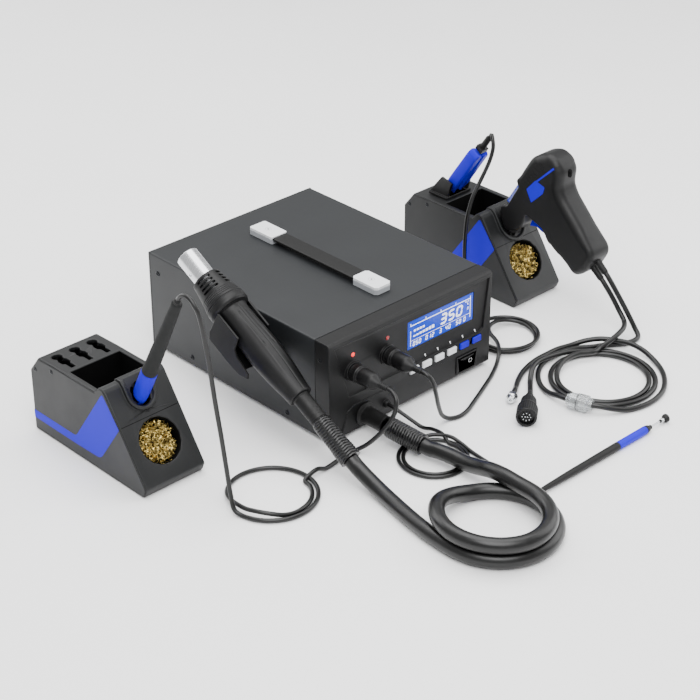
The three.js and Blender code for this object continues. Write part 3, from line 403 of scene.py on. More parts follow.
def silicone_jacket():
    """Extruded silicone and PVC jackets of the hose and cords: smooth, with fine dust and shallow
    draw marks that break the highlight."""
    return mottled("silicone_jacket", "#060606", 0.34, 2.4, 0.015, 0.14, 12, 0.06,
                   {"Specular IOR Level": 0.45})


def moulded_rubber():
    """Moulded rubber of the guards, feet, ports and strap: matt and slightly dusty."""
    return mottled("moulded_rubber", "#070707", 0.5, 0.9, 0.03, 0.16, 9, 0.06, {"Specular IOR Level": 0.32})


def wound_wire():
    """Close-wound spring wire under black lacquer, with a tight highlight on each turn."""
    return mottled("lacquered_spring_wire", "#050506", 0.28, 0.9, 0.006, 0.12, 6, 0.06)


def foam_rubber():
    """Closed-cell foam sleeve of the iron's handle: matt dark grey with cells of 0.8 mm."""
    return mottled("closed_cell_foam", "#131414", 0.75, 0.8, 0.05, 0.12, 6, 0.05,
                   {"Specular IOR Level": 0.3})


def tampo_white():
    """White pad-printed marks."""
    return mottled("pad_printed_white", "#f2f3f4", 0.45, 0.6, 0.003, 0.02, 6, 0.03)


def printed_blue(colour):
    """Screen-printed blue panel of the holders: flat, even, a little glossier than the moulding."""
    return mottled("screen_printed_blue", colour, 0.45, 1.2, 0.004, 0.03, 30, 0.03,
                   {"Specular IOR Level": 0.12})


def brushed_stainless():
    """Drawn stainless tube, brushed round its axis: the brush marks are drawn 0.5 mm apart along the tube."""
    material, tree, shader, place = new_material("brushed_stainless_steel",
                                                 {"Metallic": 1.0, "Roughness": 0.22})
    axis = add(tree, "Mapping", {"Rotation": (math.radians(-28.75), 0, 0), "Scale": (1, 40, 1)},
               {"Vector": place})
    lines = add(tree, "TexNoise", {"Scale": per_metre(20), "Detail": 5.0},
                {"Vector": axis.outputs["Vector"]})
    tint = add(tree, "ValToRGB", (), {"Fac": lines.outputs["Fac"]})
    tint.color_ramp.elements[0].color, tint.color_ramp.elements[1].color = linear("#c9ccd0"), linear("#f1f2f3")
    rough = add(tree, "MapRange", {"From Min": 0.3, "From Max": 0.7, "To Min": 0.16, "To Max": 0.3},
                {"Value": lines.outputs["Fac"]})
    bump = add(tree, "Bump", {"Strength": 0.5, "Distance": 0.006 * MM}, {"Height": lines.outputs["Fac"]})
    for socket, source in (("Base Color", tint.outputs["Color"]), ("Roughness", rough.outputs["Result"]),
                           ("Normal", bump.outputs["Normal"])):
        tree.links.new(source, shader.inputs[socket])
    return material


def nickel_plate():
    """Bright nickel plate on turned brass and on screws, with slight pitting."""
    return mottled("nickel_plated_brass", "#cfd2d4", 0.2, 0.5, 0.006, 0.06, 3, 0.08, {"Metallic": 1.0})


def dark_screw():
    """Black zinc plate on steel screws."""
    return mottled("black_zinc_screw", "#2a2b2d", 0.35, 0.5, 0.01, 0.12, 3, 0.08, {"Metallic": 1.0})


def brass_turnings():
    """Curled brass swarf: bright yellow metal with brown tarnish in patches of a few millimetres."""
    material, tree, shader, place = new_material("brass_turnings", {"Metallic": 1.0, "Roughness": 0.3})
    tarnish = add(tree, "TexNoise", {"Scale": per_metre(4), "Detail": 3.0}, {"Vector": place})
    tint = add(tree, "ValToRGB", (), {"Fac": tarnish.outputs["Fac"]})
    tint.color_ramp.elements[0].position, tint.color_ramp.elements[1].position = 0.34, 0.62
    tint.color_ramp.elements[0].color, tint.color_ramp.elements[1].color = linear("#33260c"), linear("#e2c878")
    tree.links.new(tint.outputs["Color"], shader.inputs["Base Color"])
    rough = add(tree, "MapRange", {"From Min": 0.3, "From Max": 0.7, "To Min": 0.42, "To Max": 0.24},
                {"Value": tarnish.outputs["Fac"]})
    tree.links.new(rough.outputs["Result"], shader.inputs["Roughness"])
    return material


def black_and_painted_shade():
    """Near-black matt surface from which almost no light leaves: painted shade inside the sunk trays and under the
    brass wool, and also the slope seam, the small cap screws and the eye on the gun.
    """
    return mottled("shaded_black_abs", "#030303", 0.8, 1.0, 0.02, 0.2, 12, 0.05,
                   {"Specular IOR Level": 0.1})


def backlit_display(colour):
    """Negative display lit from behind: a blue glow that drifts a little in broad patches, under a clear glossy window."""
    material, tree, shader, place = new_material("backlit_display", {
        "Roughness": 0.2, "Emission Strength": 0.5, "Specular IOR Level": 0.15, "Coat Weight": 0.12,
        "Coat Roughness": 0.05})
    slow = add(tree, "TexNoise", {"Scale": per_metre(45), "Detail": 1.0}, {"Vector": place})
    tint = add(tree, "ValToRGB", (), {"Fac": slow.outputs["Fac"]})
    base = np.array(linear(colour)[:3])
    tint.color_ramp.elements[0].color, tint.color_ramp.elements[1].color = (*(base * 0.85), 1), (*(base * 1.15), 1)
    for socket in ("Base Color", "Emission Color"):
        tree.links.new(tint.outputs["Color"], shader.inputs[socket])
    return material


def lit_segments():
    """Unmasked cells of the display, near white."""
    material, tree, shader, place = new_material("lit_display_cells", {
        "Roughness": 0.3, "Emission Strength": 0.75, "Emission Color": linear("#f4f8ff")})
    slow = add(tree, "TexNoise", {"Scale": per_metre(30)}, {"Vector": place})
    tint = add(tree, "ValToRGB", (), {"Fac": slow.outputs["Fac"]})
    tint.color_ramp.elements[0].color, tint.color_ramp.elements[1].color = linear("#dfe9ff"), linear("#ffffff")
    tree.links.new(tint.outputs["Color"], shader.inputs["Base Color"])
    return material


def indicator(name, colour, strength):
    """Diffused red indicator lens, its colour drifting a little in a fine grain."""
    material, tree, shader, place = new_material(name, {
        "Roughness": 0.25, "Emission Color": linear(colour), "Emission Strength": strength,
        "Coat Weight": 0.5})
    grain = add(tree, "TexNoise", {"Scale": per_metre(1.5)}, {"Vector": place})
    tint = add(tree, "ValToRGB", (), {"Fac": grain.outputs["Fac"]})
    base = np.array(linear(colour)[:3])
    tint.color_ramp.elements[0].color, tint.color_ramp.elements[1].color = (*(base * 0.8), 1), (*base, 1)
    tree.links.new(tint.outputs["Color"], shader.inputs["Base Color"])
    return material


def clear_moulding(name, colour, roughness, weight):
    """Clear polycarbonate, tinted, with faint flow marks from the mould."""
    material = mottled(name, colour, roughness, 3.0, 0.01, 0.06, 8, 0.03,
                       {"Transmission Weight": weight, "IOR": 1.58, "Coat Weight": 0.3,
                        "Coat Roughness": 0.08})
    return material


class Palette:
    """Materials made once and shared."""
    made = {}

    @classmethod
    def get(cls, maker, *args):
        key = (maker.__name__, *[a if isinstance(a, (str, float)) else str(a) for a in args])
        if key not in cls.made:
            cls.made[key] = maker(*args)
        return cls.made[key]


def hex_of(colour):
    return "#" + "".join("%02x" % round(255 * (12.92 * c if c <= 0.0031308 else 1.055 * c ** (1 / 2.4) - 0.055))
                         for c in colour[:3])


def finish_named(name):
    """The shared material of one of this station's finishes."""
    paint = bpy.context.scene.station_colours
    makers = {
        "paint": (powder_coated_steel, hex_of(paint.case)), "black": (spark_textured_abs,
                                                                      hex_of(paint.black)),
        "grey": (satin_abs, hex_of(paint.holder)), "blue": (blue_abs, hex_of(paint.blue)),
        "foam": (foam_rubber,),
        "print": (printed_blue, hex_of(paint.blue)), "white": (white_abs,), "light": (grey_abs,),
        "jacket": (silicone_jacket,), "rubber": (moulded_rubber,), "wire": (wound_wire,),
        "mark": (tampo_white,),
        "steel": (brushed_stainless,), "nickel": (nickel_plate,), "screw": (dark_screw,),
        "brass": (brass_turnings,),
        "hollow": (black_and_painted_shade,), "display": (backlit_display, hex_of(paint.display)),
        "cells": (lit_segments,),
        "lamp": (indicator, "heating_lamp", "#ff2a20", 1.3),
        "lamp_dim": (indicator, "standby_lamp", "#a01c1c", 0.12),
        "tube": (clear_moulding, "tinted_filter_tube", "#0b2fa8", 0.22, 0.05),
        "clear": (clear_moulding, "clear_filter_cup", "#f4f8fa", 0.08, 0.85),
        "ceramic": (mottled, "heater_ceramic", "#cfc6b4", 0.7, 0.8, 0.03),
        "board": (mottled, "epoxy_board", "#1c5a34", 0.4, 1.0, 0.01),
        "core": (mottled, "laminated_core", "#6f5a3c", 0.55, 0.8, 0.05),
        "pump": (mottled, "cast_pump_body", "#9a9ea2", 0.4, 1.2, 0.05),
    }
    return Palette.get(*makers[name])


# ---------------------------------------------------------------- sizes shared by several pieces
GAP = 0.3
SOCKET_X, SOCKET_Z, PLUG_LONG = (-81.0, -34.5), 71.5, 46.0
HOSE_PORT, VAC_PORT, PORT_SLEEVE = (-67.8, 18.7), (-38.4, 18.1), 32.0
HOSE_R, SPRING_R, LEAD_R, VAC_R, LINE_R = 7.75, 10.6, 2.25, 2.0, 2.8
GUN_MOUTH, GUN_PITCH = np.array([-140.0, 39.0, 152.0]), math.radians(28.75)
TUBE_R, COLLAR_S, HANDLE_S, TAIL_S, GUARD_S, GUARD_END_S = 11.65, 32.0, 74.5, 188.0, 217.6, 267.0
STAND_W, STANDS = 72.0, ((-302.0, 0.0), (224.0, 11.0))
TOOL_TILT = math.radians(27.3)
TOOL_AXIS = np.array([0, -math.sin(TOOL_TILT), math.cos(TOOL_TILT)])
IRON_MOUTH = np.array([STANDS[0][0] + STAND_W / 2, STANDS[0][1] - 42.0, 82.9])
GUN_X = STANDS[1][0] + STAND_W / 2
TWEEZER_AT, TWEEZER_LEAN = np.array([256.0, 52.0, 95.0]), math.radians(33.7)
PEN_TAIL, PEN_AIM = np.array([-26.0, -335.5, 4.7]), np.array([1, -0.003, 0])
ALONG_GUN = Place(GUN_MOUTH, (0, -math.cos(GUN_PITCH), -math.sin(GUN_PITCH)),
                  (0, -math.sin(GUN_PITCH), math.cos(GUN_PITCH)))
ALONG_IRON = Place(IRON_MOUTH, TOOL_AXIS, (0, math.cos(TOOL_TILT), math.sin(TOOL_TILT)))
ALONG_TWEEZERS = Place(TWEEZER_AT, (0, -math.sin(TWEEZER_LEAN), math.cos(TWEEZER_LEAN)),
                       (0, math.cos(TWEEZER_LEAN), math.sin(TWEEZER_LEAN)))
ALONG_PEN = Place(PEN_TAIL, PEN_AIM, (0, 0, 1))


# ---------------------------------------------------------------- cords
def ease(value, start, end):
    t = np.clip((value - start) / (end - start), 0, 1)
    return t * t * (3 - 2 * t)


def ring_points(centre, start, end, count, radius_at, height_at):
    """Points on turns about a centre: angles in degrees, radius and height from the share gone."""
    share = np.linspace(0, 1, count + 1)
    a = np.radians(start + (end - start) * share)
    r = radius_at(share)
    return np.stack([centre[0] + r * np.cos(a), centre[1] + r * np.sin(a), height_at(share)], 1).tolist()


def towards(start, end, distance):
    start, end = np.asarray(start, float), np.asarray(end, float)
    return (start + unit(end - start) * distance).tolist()


def gun_point(s):
    return ALONG_GUN([0, 0, s]).tolist()


SPRING_END = [-60.5, -212.5, 12.6]
SPRING_START = [HOSE_PORT[0], FRONT - PORT_SLEEVE, HOSE_PORT[1]]


def hose_route():
    low, lift = HOSE_R + 0.1, 2 * HOSE_R + 0.3
    loop = ring_points((-102, -347), 186, 712, 26, lambda share: 55 - 10 * ease(share, 0.78, 1),
                       lambda share: low + lift * ease(share, 0.44, 0.6))
    top = low + lift
    return [gun_point(GUARD_END_S + GAP), gun_point(GUARD_END_S + 10), [-141.5, -231, 10.6],
            [-146, -258, 8.2],
            [-151, -283, low], [-155, -306, low], [-157, -326, low], *loop, [-56.5, -331, top],
            [-56, -314, top],
            [-55, -297, 21.4], [-54, -280, 16.4], [-54, -263, 13], [-55, -246, 12.5], [-57.2, -230, 12.3],
            towards(SPRING_END, SPRING_START, -8), towards(SPRING_END, SPRING_START, -GAP)]


def iron_lead_route():
    low = LEAD_R + 0.4
    turns = ring_points((-212, -163), 188, 552, 22, lambda share: 44 - 5 * ease(share, 0.72, 1),
                        lambda share: low + 5 * ease(share, 0.78, 0.96))
    over = ring_points((-212, -163), 198, 352, 10, lambda share: 38.5 - 0.6 * share,
                       lambda share: low + 5 * (1 - ease(share, 0.1, 0.4)))
    end = FRONT - PLUG_LONG
    return [[-266, -105.3, 206.8], [-265.9, -109.7, 211.7], [-265.6, -115, 214], [-265.2, -120.4, 213.4],
            [-264.9, -124.1, 211.1], [-264.7, -126.4, 208.4], [-263.8, -129.4, 203.5], [-262.6, -132, 193],
            [-260.8, -135, 171], [-259, -138.4, 141], [-257.8, -142, 110], [-256.8, -147, 78],
            [-256.2, -152, 45],
            [-256.6, -157, 20], [-257.6, -163, 6], *turns, *over, [-166, -166.5, low + 2.6],
            [-157, -167, low + 4.4], [-146, -166.5, low], [-128, -164.5, low], [-112, -163, low],
            [-104, -166, 5],
            [-99, -174, 12], [-94, -186, 27], [-90, -195, 42], [-86.5, -200.5, 58], [-83.4, -197.4, 68],
            [SOCKET_X[0], end - 5, SOCKET_Z], [SOCKET_X[0], end - GAP, SOCKET_Z]]


def tweezer_lead_route():
    low = LEAD_R + 0.4
    coil = ring_points((167, -112), 150, -510, 44,
                       lambda share: 16 + 17 * ease(share, 0, 0.24) + 3.5 * ease(share, 0.5, 1),
                       lambda share: low + 5.2 * (1 - ease(share, 0.12, 0.3)) + 4.9 * ease(share, 0.5, 0.66))
    rise, end = low + 4.9, FRONT - PLUG_LONG
    return [[SOCKET_X[1], end - GAP, SOCKET_Z], [SOCKET_X[1], end - 5, SOCKET_Z], [-33, -192.4, 69],
            [-29.5, -194, 63], [-23, -192.5, 46], [-13, -187.5, 24], [-4, -184.5, 9], [4, -186, low + 0.6],
            [13, -189.5, low], [26, -188.5, low], [45, -181, low], [70, -170, low], [97, -157.5, low],
            [119, -145, low + 1.5], [132, -135.5, low + 5.2], [143, -124, low + 5.2],
            [149, -114, low + 5.2],
            *coil, [134, -88, rise], [142, -70, low + 1.5], [156, -50, low], [175, -32, low],
            [195, -19, low],
            [207, -12, 5], [212.6, -9, 18], [213.5, -7, 42], [214, -6.4, 64], [217, -6.2, 92],
            [225, -6.4, 114],
            [236, -7.4, 131], [247, -8.8, 150], [252, -8.6, 164], [254.4, -5, 173.4],
            ALONG_TWEEZERS([0, 0, 97.3]).tolist(), ALONG_TWEEZERS([0, 0, 92.3]).tolist()]


def pen_hose_route():
    low, hump = VAC_R + 0.3, 2 * VAC_R + 0.4
    coil = ring_points((-57, -224), 14, -706, 44, lambda share: 29.5 + 5 * ease(share, 0.3, 0.7),
                       lambda share: low + hump * ease(share, 0.9, 0.97))
    return [[VAC_PORT[0], FRONT - 4 - GAP, VAC_PORT[1]], [-38, -150, 17.2], [-35.4, -160, 13.5],
            [-32, -170, 8.6],
            [-28.6, -181, 4.4], [-26.4, -193, low + hump], [-26, -206, low + hump], *coil,
            [-21.5, -226, low + 1.6],
            [-23.5, -243, low], [-25.5, -262, low], [-27, -282, low], [-28.6, -300, low],
            [-30.6, -316, low],
            [-33.6, -326, low + 1], [-33, -332.6, 3.6], [-30, -335.3, 4.6],
            towards(PEN_TAIL, (0, -335.5, PEN_TAIL[2]), -GAP)]


LINE_RING, LINE_AIM = (174, -240), np.array([0.04, -0.74, -0.67])
LINE_EXIT_A, LINE_EXIT_B = np.array([GUN_X, -152.5, 68]), np.array([GUN_X, -157.5, 77])
DESOLDER_PLUG_FROM, DESOLDER_PLUG_TO = (86, -219.5, 10.2), (50, -247, 11.6)
LUER_FROM, LUER_TO = (83, -200.5, 5.7), (70, -208, 6)
FILTER_TURN, FILTER_R, FILTER_L, LINE_LOOP_R = 200, 9.0, 27.0, 65.0


def line_start(start, further=0):
    return (start + unit(LINE_AIM) * (6 + GAP + further)).tolist()


def desolder_cable_route():
    low, layer = LINE_R + 0.3, 2 * LINE_R + 0.5
    turns = ring_points(LINE_RING, 50, 800, 36, lambda share: 44 + 14 * share,
                        lambda share: low + layer * (1 - ease(share, 0.04,
                                                              0.14)) + 0.5 * layer * ease(share, 0.97, 1))
    return [line_start(LINE_EXIT_A), line_start(LINE_EXIT_A, 12), [262.8, -178, 41], [265, -187, 27],
            [263, -196, 19], [254, -203, low + 2.3 * layer], [241, -206.5, low + 2.1 * layer],
            [226, -206.5, low + 1.5 * layer], [212, -205, low + layer], *turns, [152, -179, low + layer],
            [140, -180, low + layer], [129, -184.5, low + 0.8 * layer], [117, -193, low + 0.4],
            [107, -202, low],
            [97, -211, low + 1], towards(DESOLDER_PLUG_FROM, DESOLDER_PLUG_TO, -6),
            towards(DESOLDER_PLUG_FROM, DESOLDER_PLUG_TO, -GAP)]


def desolder_air_route():
    low, layer = LINE_R + 0.3, 2 * LINE_R + 0.5
    start, end = 48, 440
    at_filter = (FILTER_TURN - start) / (end - start)
    loop = ring_points(LINE_RING, start, end, 30, lambda share: LINE_LOOP_R + 7 * ease(share, 0.66, 0.84),
                       lambda share: low + (FILTER_R + 0.2 - low) * (1 - ease(np.abs(share - at_filter), 0.03, 0.12))
                       + layer * ease(share, 0.74, 0.84) * (1 - ease(share, 0.9, 0.98)))
    return [line_start(LINE_EXIT_B), line_start(LINE_EXIT_B, 12), [263.5, -185, 46], [268, -195, 28],
            [271.5, -203.5, 12], [270, -211, low + 1], [261, -213.5, low], [250, -211, low],
            [238, -204, low],
            [228, -197, low], *loop, [172, -168.5, low], [156, -168.5, low], [140, -171, low],
            [124, -176, low],
            [109, -183.5, low], [96, -192, low], towards(LUER_FROM, LUER_TO, -6),
            towards(LUER_FROM, LUER_TO, -GAP)]


def free_cord(name, route, radius, nodes, material, from_end=False, step=2.0, sides=16, **facts):
    """One cord as a tube along its route."""
    line, along = even_route(smooth_route(route), step)
    obj = piece(name, tube(line, radius, sides), material, None, nodes)
    return obj


def round_connector():
    """Round connector: the coupling ring is knurled by 30 flutes, and six pins stand in it."""
    span = np.subtract(DESOLDER_PLUG_TO, DESOLDER_PLUG_FROM)
    length = np.linalg.norm(span)
    place = Place(DESOLDER_PLUG_FROM, span, (0, 0, 1))
    line = [[3.2, GAP], [4.3, 1.4], [3.9, 3], [4.5, 6], [6.0, 8], [7.8, 11], [8.4, 14], [8.6, 25],
            [10.2, 26.5], [10.75, 28.5],
            [10.75, length - 1], [10.2, length], [8.2, length], [7.8, length - 4.5], [0, length - 4.5]]
    line = dense(soft_corners(np.vstack([[0, GAP], line]), 0.5, False), 0.8)
    flutes = lambda a, s: np.where((s > 29.5) & (s < length - 1.5), -0.45 * np.abs(np.sin(15 * a)),
                                   np.where((s > 12) & (s < 24.5), -0.22 * np.abs(np.sin(9 * a)), 0))
    shell = piece("round_connector", turned(line, place, 120, flutes), finish_named("black"), "station",
                  ["desolder_plug"],
          sharp=45)
    pins = []
    for x, y in [(1.2, 0), (-1.2, 0)] + [(4.2 * math.cos(a), 4.2 * math.sin(a)) for a in ring(8)]:
        dot = solid_profile([[0.6, length - 6], [0.6, length - 1.2]], 0.3)
        pins.append(turned(dot + np.array([0, 0]), Place(place([x, y, 0]), span, (0, 0, 1)), 16))
    return [shell, piece("connector_pins", together(*pins), finish_named("nickel"), "station")]


def vacuum_fitting():
    span = np.subtract(LUER_TO, LUER_FROM)
    length = np.linalg.norm(span)
    place = Place(LUER_FROM, span, (0, 0, 1))
    line = [[3, GAP], [3, 4], [5.5, 4.6], [5.55, 9.6], [4.9, 10.4], [4.1, 11], [3.9, length - 1],
            [3.5, length],
            [1.2, length], [1.2, length - 2], [0, length - 2]]
    hexagon = lambda a, s: np.where((s > 4.4) & (s < 10),
                                    5.55 * (0.9 / np.maximum(np.cos((a % (math.pi / 3)) - math.pi / 6),
                                                             0.87) - 1), 0)
    return piece("vacuum_fitting", turned(dense(soft_corners(np.vstack([[0, GAP], line]), 0.25, False),
                                                0.6), place, 60, hexagon),
          finish_named("nickel"), "station", ["luer_fitting"], sharp=30)


def line_filter():
    a = math.radians(FILTER_TURN)
    at = (LINE_RING[0] + (LINE_LOOP_R - 1) * math.cos(a), LINE_RING[1] + (LINE_LOOP_R - 1) * math.sin(a),
          FILTER_R + 0.2)
    place = Place(at, (-math.sin(a), math.cos(a), 0))
    half = FILTER_L / 2
    cups = [[5.4, -half], [6.2, 2 - half], [8.2, 4.4 - half], [8.3, -1.6], [8.9, -1.2], [8.9, half - 5],
            [8.6, half - 4.4],
            [6.2, half - 3], [5.4, half], [4.6, half], [4.6, -half], [5.4, -half]]
    grip = lambda a, s: np.where((s > -1) & (s < half - 5) & (np.sin(12 * a) > 0), -0.35, 0)
    cups = piece("filter_cups", turned(dense(cups, 1.4), place, 96, grip), finish_named("clear"),
                 "station", ["inline_filter"],
          sharp=40)
    seal = [[8.0, -2.4], [8.75, -2.2], [8.75, -1.4], [8.0, -1.2], [8.0, -2.4]]
    return [cups, piece("filter_seal", turned(seal, place, 64), finish_named("rubber"), "station")]


class STATION_OT_cords(bpy.types.Operator):
    """Lays the air hose, the leads and the vacuum hose, each a tube along its route"""
    bl_idname, bl_label = "station.cords", "Cords"

    def execute(self, context):
        jacket = finish_named("jacket")
        hose = free_cord("hot_air_hose", hose_route(), HOSE_R, ["air_hose"], jacket, from_end=True,
                         step=2.5,
                         sides=40, far_end="object", stiffness="stiff", lay="coiled")
        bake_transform(hose)
        lead = free_cord("iron_cord", iron_lead_route(), LEAD_R, ["iron_lead", "iron_lead_upper"], jacket,
                         from_end=True, far_end="object", stiffness="limp", lay="loose")
        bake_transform(lead)
        others = (
            ("tweezer_cord", tweezer_lead_route(), LEAD_R, "tweezer_lead", "object", "limp"),
            ("vacuum_hose", pen_hose_route(), VAC_R, "pen_hose", "object", "limp"),
        )
        for name, route, radius, node, far_end, stiffness in others:
            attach(free_cord(name, route, radius, [node], jacket, far_end=far_end, stiffness=stiffness,
                              lay="loose"),
                    "station")
        cable = free_cord("desolder_power_cable", desolder_cable_route(), LINE_R, ["desolder_cable"],
                          jacket,
                          far_end="connector", stiffness="medium", lay="coiled",
                          with_pieces=round_connector())
        line = free_cord("desolder_vacuum_line", desolder_air_route(), LINE_R, ["desolder_air_line"],
                         jacket,
                         far_end="fitting", stiffness="medium", lay="coiled",
                         with_pieces=[*line_filter(), vacuum_fitting()])
        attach(cable, "station")
        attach(line, "station")
        return {"FINISHED"}


# ---------------------------------------------------------------- stage
class STATION_OT_stage(bpy.types.Operator):
    """Sets the camera, the soft lights and the pale bench"""
    bl_idname, bl_label = "station.stage", "Camera, light and bench"

    def execute(self, context):
        self.camera(context.scene.station_camera)
        self.lights(context.scene.station_light)
        self.bench(context.scene.station_colours)
        return {"FINISHED"}

    def camera(self, view):
        data = bpy.data.cameras.new("view")
        data.lens, data.sensor_width = view.lens, 36
        data.clip_start, data.clip_end = 0.05, 30
        obj = bpy.data.objects.new("view", data)
        obj.location = in_metres(view.place)
        obj.rotation_euler = (math.pi / 2 - view.height_angle, 0, view.side_angle)
        bpy.context.scene.collection.objects.link(obj)
        bpy.context.scene.camera = obj

    def lights(self, light):
        for name, place, power, size in (("key", (-700, -900, 1500), light.key, 1.4),
                                         ("top", (200, 300, 1900), light.top, 2.0),
                                         ("fill", (1300, -700, 900), light.fill, 1.6),
                                         ("back", (-300, 1500, 900), light.back, 1.4)):
            data = bpy.data.lights.new(name, "AREA")
            data.energy, data.size, data.shape = power, size, "DISK"
            obj = bpy.data.objects.new(name, data)
            obj.location = in_metres(place)
            aim = in_metres((0, -60, 60)) - in_metres(place)
            obj.rotation_euler = aim_euler(aim)
            bpy.context.scene.collection.objects.link(obj)
        world = bpy.data.worlds.new("studio")
        world.use_nodes = True
        back = world.node_tree.nodes["Background"]
        back.inputs["Color"].default_value, back.inputs["Strength"].default_value = (1, 1, 1, 1), light.room
        bpy.context.scene.world = world

    def bench(self, colours):
        reach = 6000
        u, v = np.meshgrid(np.linspace(-reach, reach, 9), np.linspace(-reach, reach, 9), indexing="ij")
        points = np.stack([u, v, np.zeros_like(u)], -1).reshape(-1, 3)
        bench = piece("bench", (points, grid_faces(9, 9, False)[:, ::-1]),
                      mottled("pale_laminate", hex_of(colours.bench), 0.6, 3, 0.002, 0.01, 300, 0.04), None)


def aim_euler(direction):
    """Rotation that turns a light's own -Z along a direction."""
    x, y, z = unit(direction)
    return (math.acos(-z), 0, math.atan2(y, x) - math.pi / 2)


# ---------------------------------------------------------------- small repeated pieces
RECESS = 2.0


def corner_block(w, h, radius):
    """Rectangle of w by h about the middle, its corners softened."""
    return soft_corners([[-w / 2, -h / 2], [w / 2, -h / 2], [w / 2, h / 2], [-w / 2, h / 2]], radius)


def pan_screw(place, radius=3.0, height=1.4, sunk=0.0):
    """Pan head: r falls as a quarter ellipse while s rises, with a cross recess of four dips."""
    t = np.linspace(0, math.pi / 2, 9)
    profile = np.stack([radius * np.cos(t), height * np.sin(t) - sunk], 1)
    profile = np.vstack([[0, -sunk - 1.0], [radius, -sunk - 1.0], profile])
    points, faces = turned(profile, Place(), 32)
    flat = points[:, :2]
    arm = np.minimum(np.abs(flat[:, 0]) + 3 * np.maximum(np.abs(flat[:, 1]) - 0.38 * radius * 0.5, 0),
                     np.abs(flat[:, 1]) + 3 * np.maximum(np.abs(flat[:, 0]) - 0.38 * radius * 0.5, 0))
    dip = 0.7 * height * np.clip(1 - arm / (0.55 * radius), 0, 1)
    points[:, 2] -= np.where(points[:, 2] > -sunk + 0.1, dip, 0)
    return place(points), faces


def ribbed(s, pitch, depth):
    """Half-round ribs: depth times the square root of one less the square of the place in a rib."""
    f = np.mod(s / pitch, 1.0) * 2 - 1
    return depth * (np.sqrt(np.maximum(1 - f * f, 0)) - 1)


def wound(a, s, pitch, depth):
    """A close-wound coil: the same half-round rib, moved one pitch along for each turn."""
    return ribbed(s - pitch * a / (2 * math.pi), pitch, depth)


def dense(profile, step):
    """The profile with points at most a step apart, so that a relief shows on it."""
    p = np.asarray(profile, float)
    out = [p[:1]]
    for start, end in zip(p[:-1], p[1:]):
        n = max(1, int(math.ceil(np.linalg.norm(end - start) / step)))
        out.append(start + (end - start) * np.linspace(0, 1, n + 1)[1:, None])
    return np.vstack(out)


# ---------------------------------------------------------------- control unit
class STATION_OT_case(bpy.types.Operator):
    """Builds the folded steel case, its screws and feet, the rear panel and what is inside"""
    bl_idname, bl_label = "station.case", "Case"

    def execute(self, context):
        paint, rubber, screw = finish_named("paint"), finish_named("rubber"), finish_named("screw")
        self.cover(paint)
        moulding("base_tray", paint, 0.3)
        moulding("rear_panel", paint, 0.5)
        moulding("mains_inlet", finish_named("black"), 0.4)
        for k in range(1, 5):
            low, high = (np.array(c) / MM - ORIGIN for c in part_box(f"foot_{k}"))
            x, y = ((low + high) / 2)[:2]
            profile = solid_profile([[5.6, 0], [7, 1.6], [6.8, FOOT_H - GAP]], 0.8)
            piece(f"rubber_foot_{k}", turned(profile, Place((x, y, 0)), 40), rubber, "station",
                  [f"foot_{k}"])
        heads = [pan_screw(Place((side * SIDE, y, z), (side, 0, 0), (0, 0, 1)), 3.2, 1.3, 0.2)
                 for side in (-1, 1) for y, z in ((71.6, 12.3), (-75.9, 10.9), (123.0, 91.0))]
        heads += [pan_screw(Place((side * SIDE, FRONT + 13, 91), (side, 0, 0), (0, 0, 1)), 2.6, 0.9, 0.2)
                  for side in (-1, 1)]
        heads += [pan_screw(Place((x, BACK, z), (0, 1, 0), (0, 0, 1)), 2.8, 1.2, 0.2)
                  for x in (-104, 104) for z in (14, 101)]
        piece("case_screws", together(*heads), screw, "station")
        for node, name in (("control_board", "board"), ("transformer", "core"), ("air_pump", "pump")):
            moulding(node, finish_named(name), 0.5)
        return {"FINISHED"}

    def cover(self, paint):
        """Folded cover: an upside-down U of sheet with bends of 2 mm outside, carried along Y."""
        x, t, r = SIDE, 1.5, 2.2
        y0, y1 = FRONT + 20 + GAP, BACK - 2.5 - GAP
        outline = soft_corners([[-x, FOOT_H], [-x, TOP], [x, TOP], [x, FOOT_H], [x - t, FOOT_H],
                                [x - t, TOP - t],
                                [t - x, TOP - t], [t - x, FOOT_H]],
                                [0.3, r, r, 0.3, 0.3, r - t, r - t, 0.3], steps=6)
        piece("steel_cover", slab(outline, -y1, -y0, Place((0, 0, 0), (0, -1, 0), (0, 0, 1))), paint,
              "station",
              ["case_cover"], sharp=50)


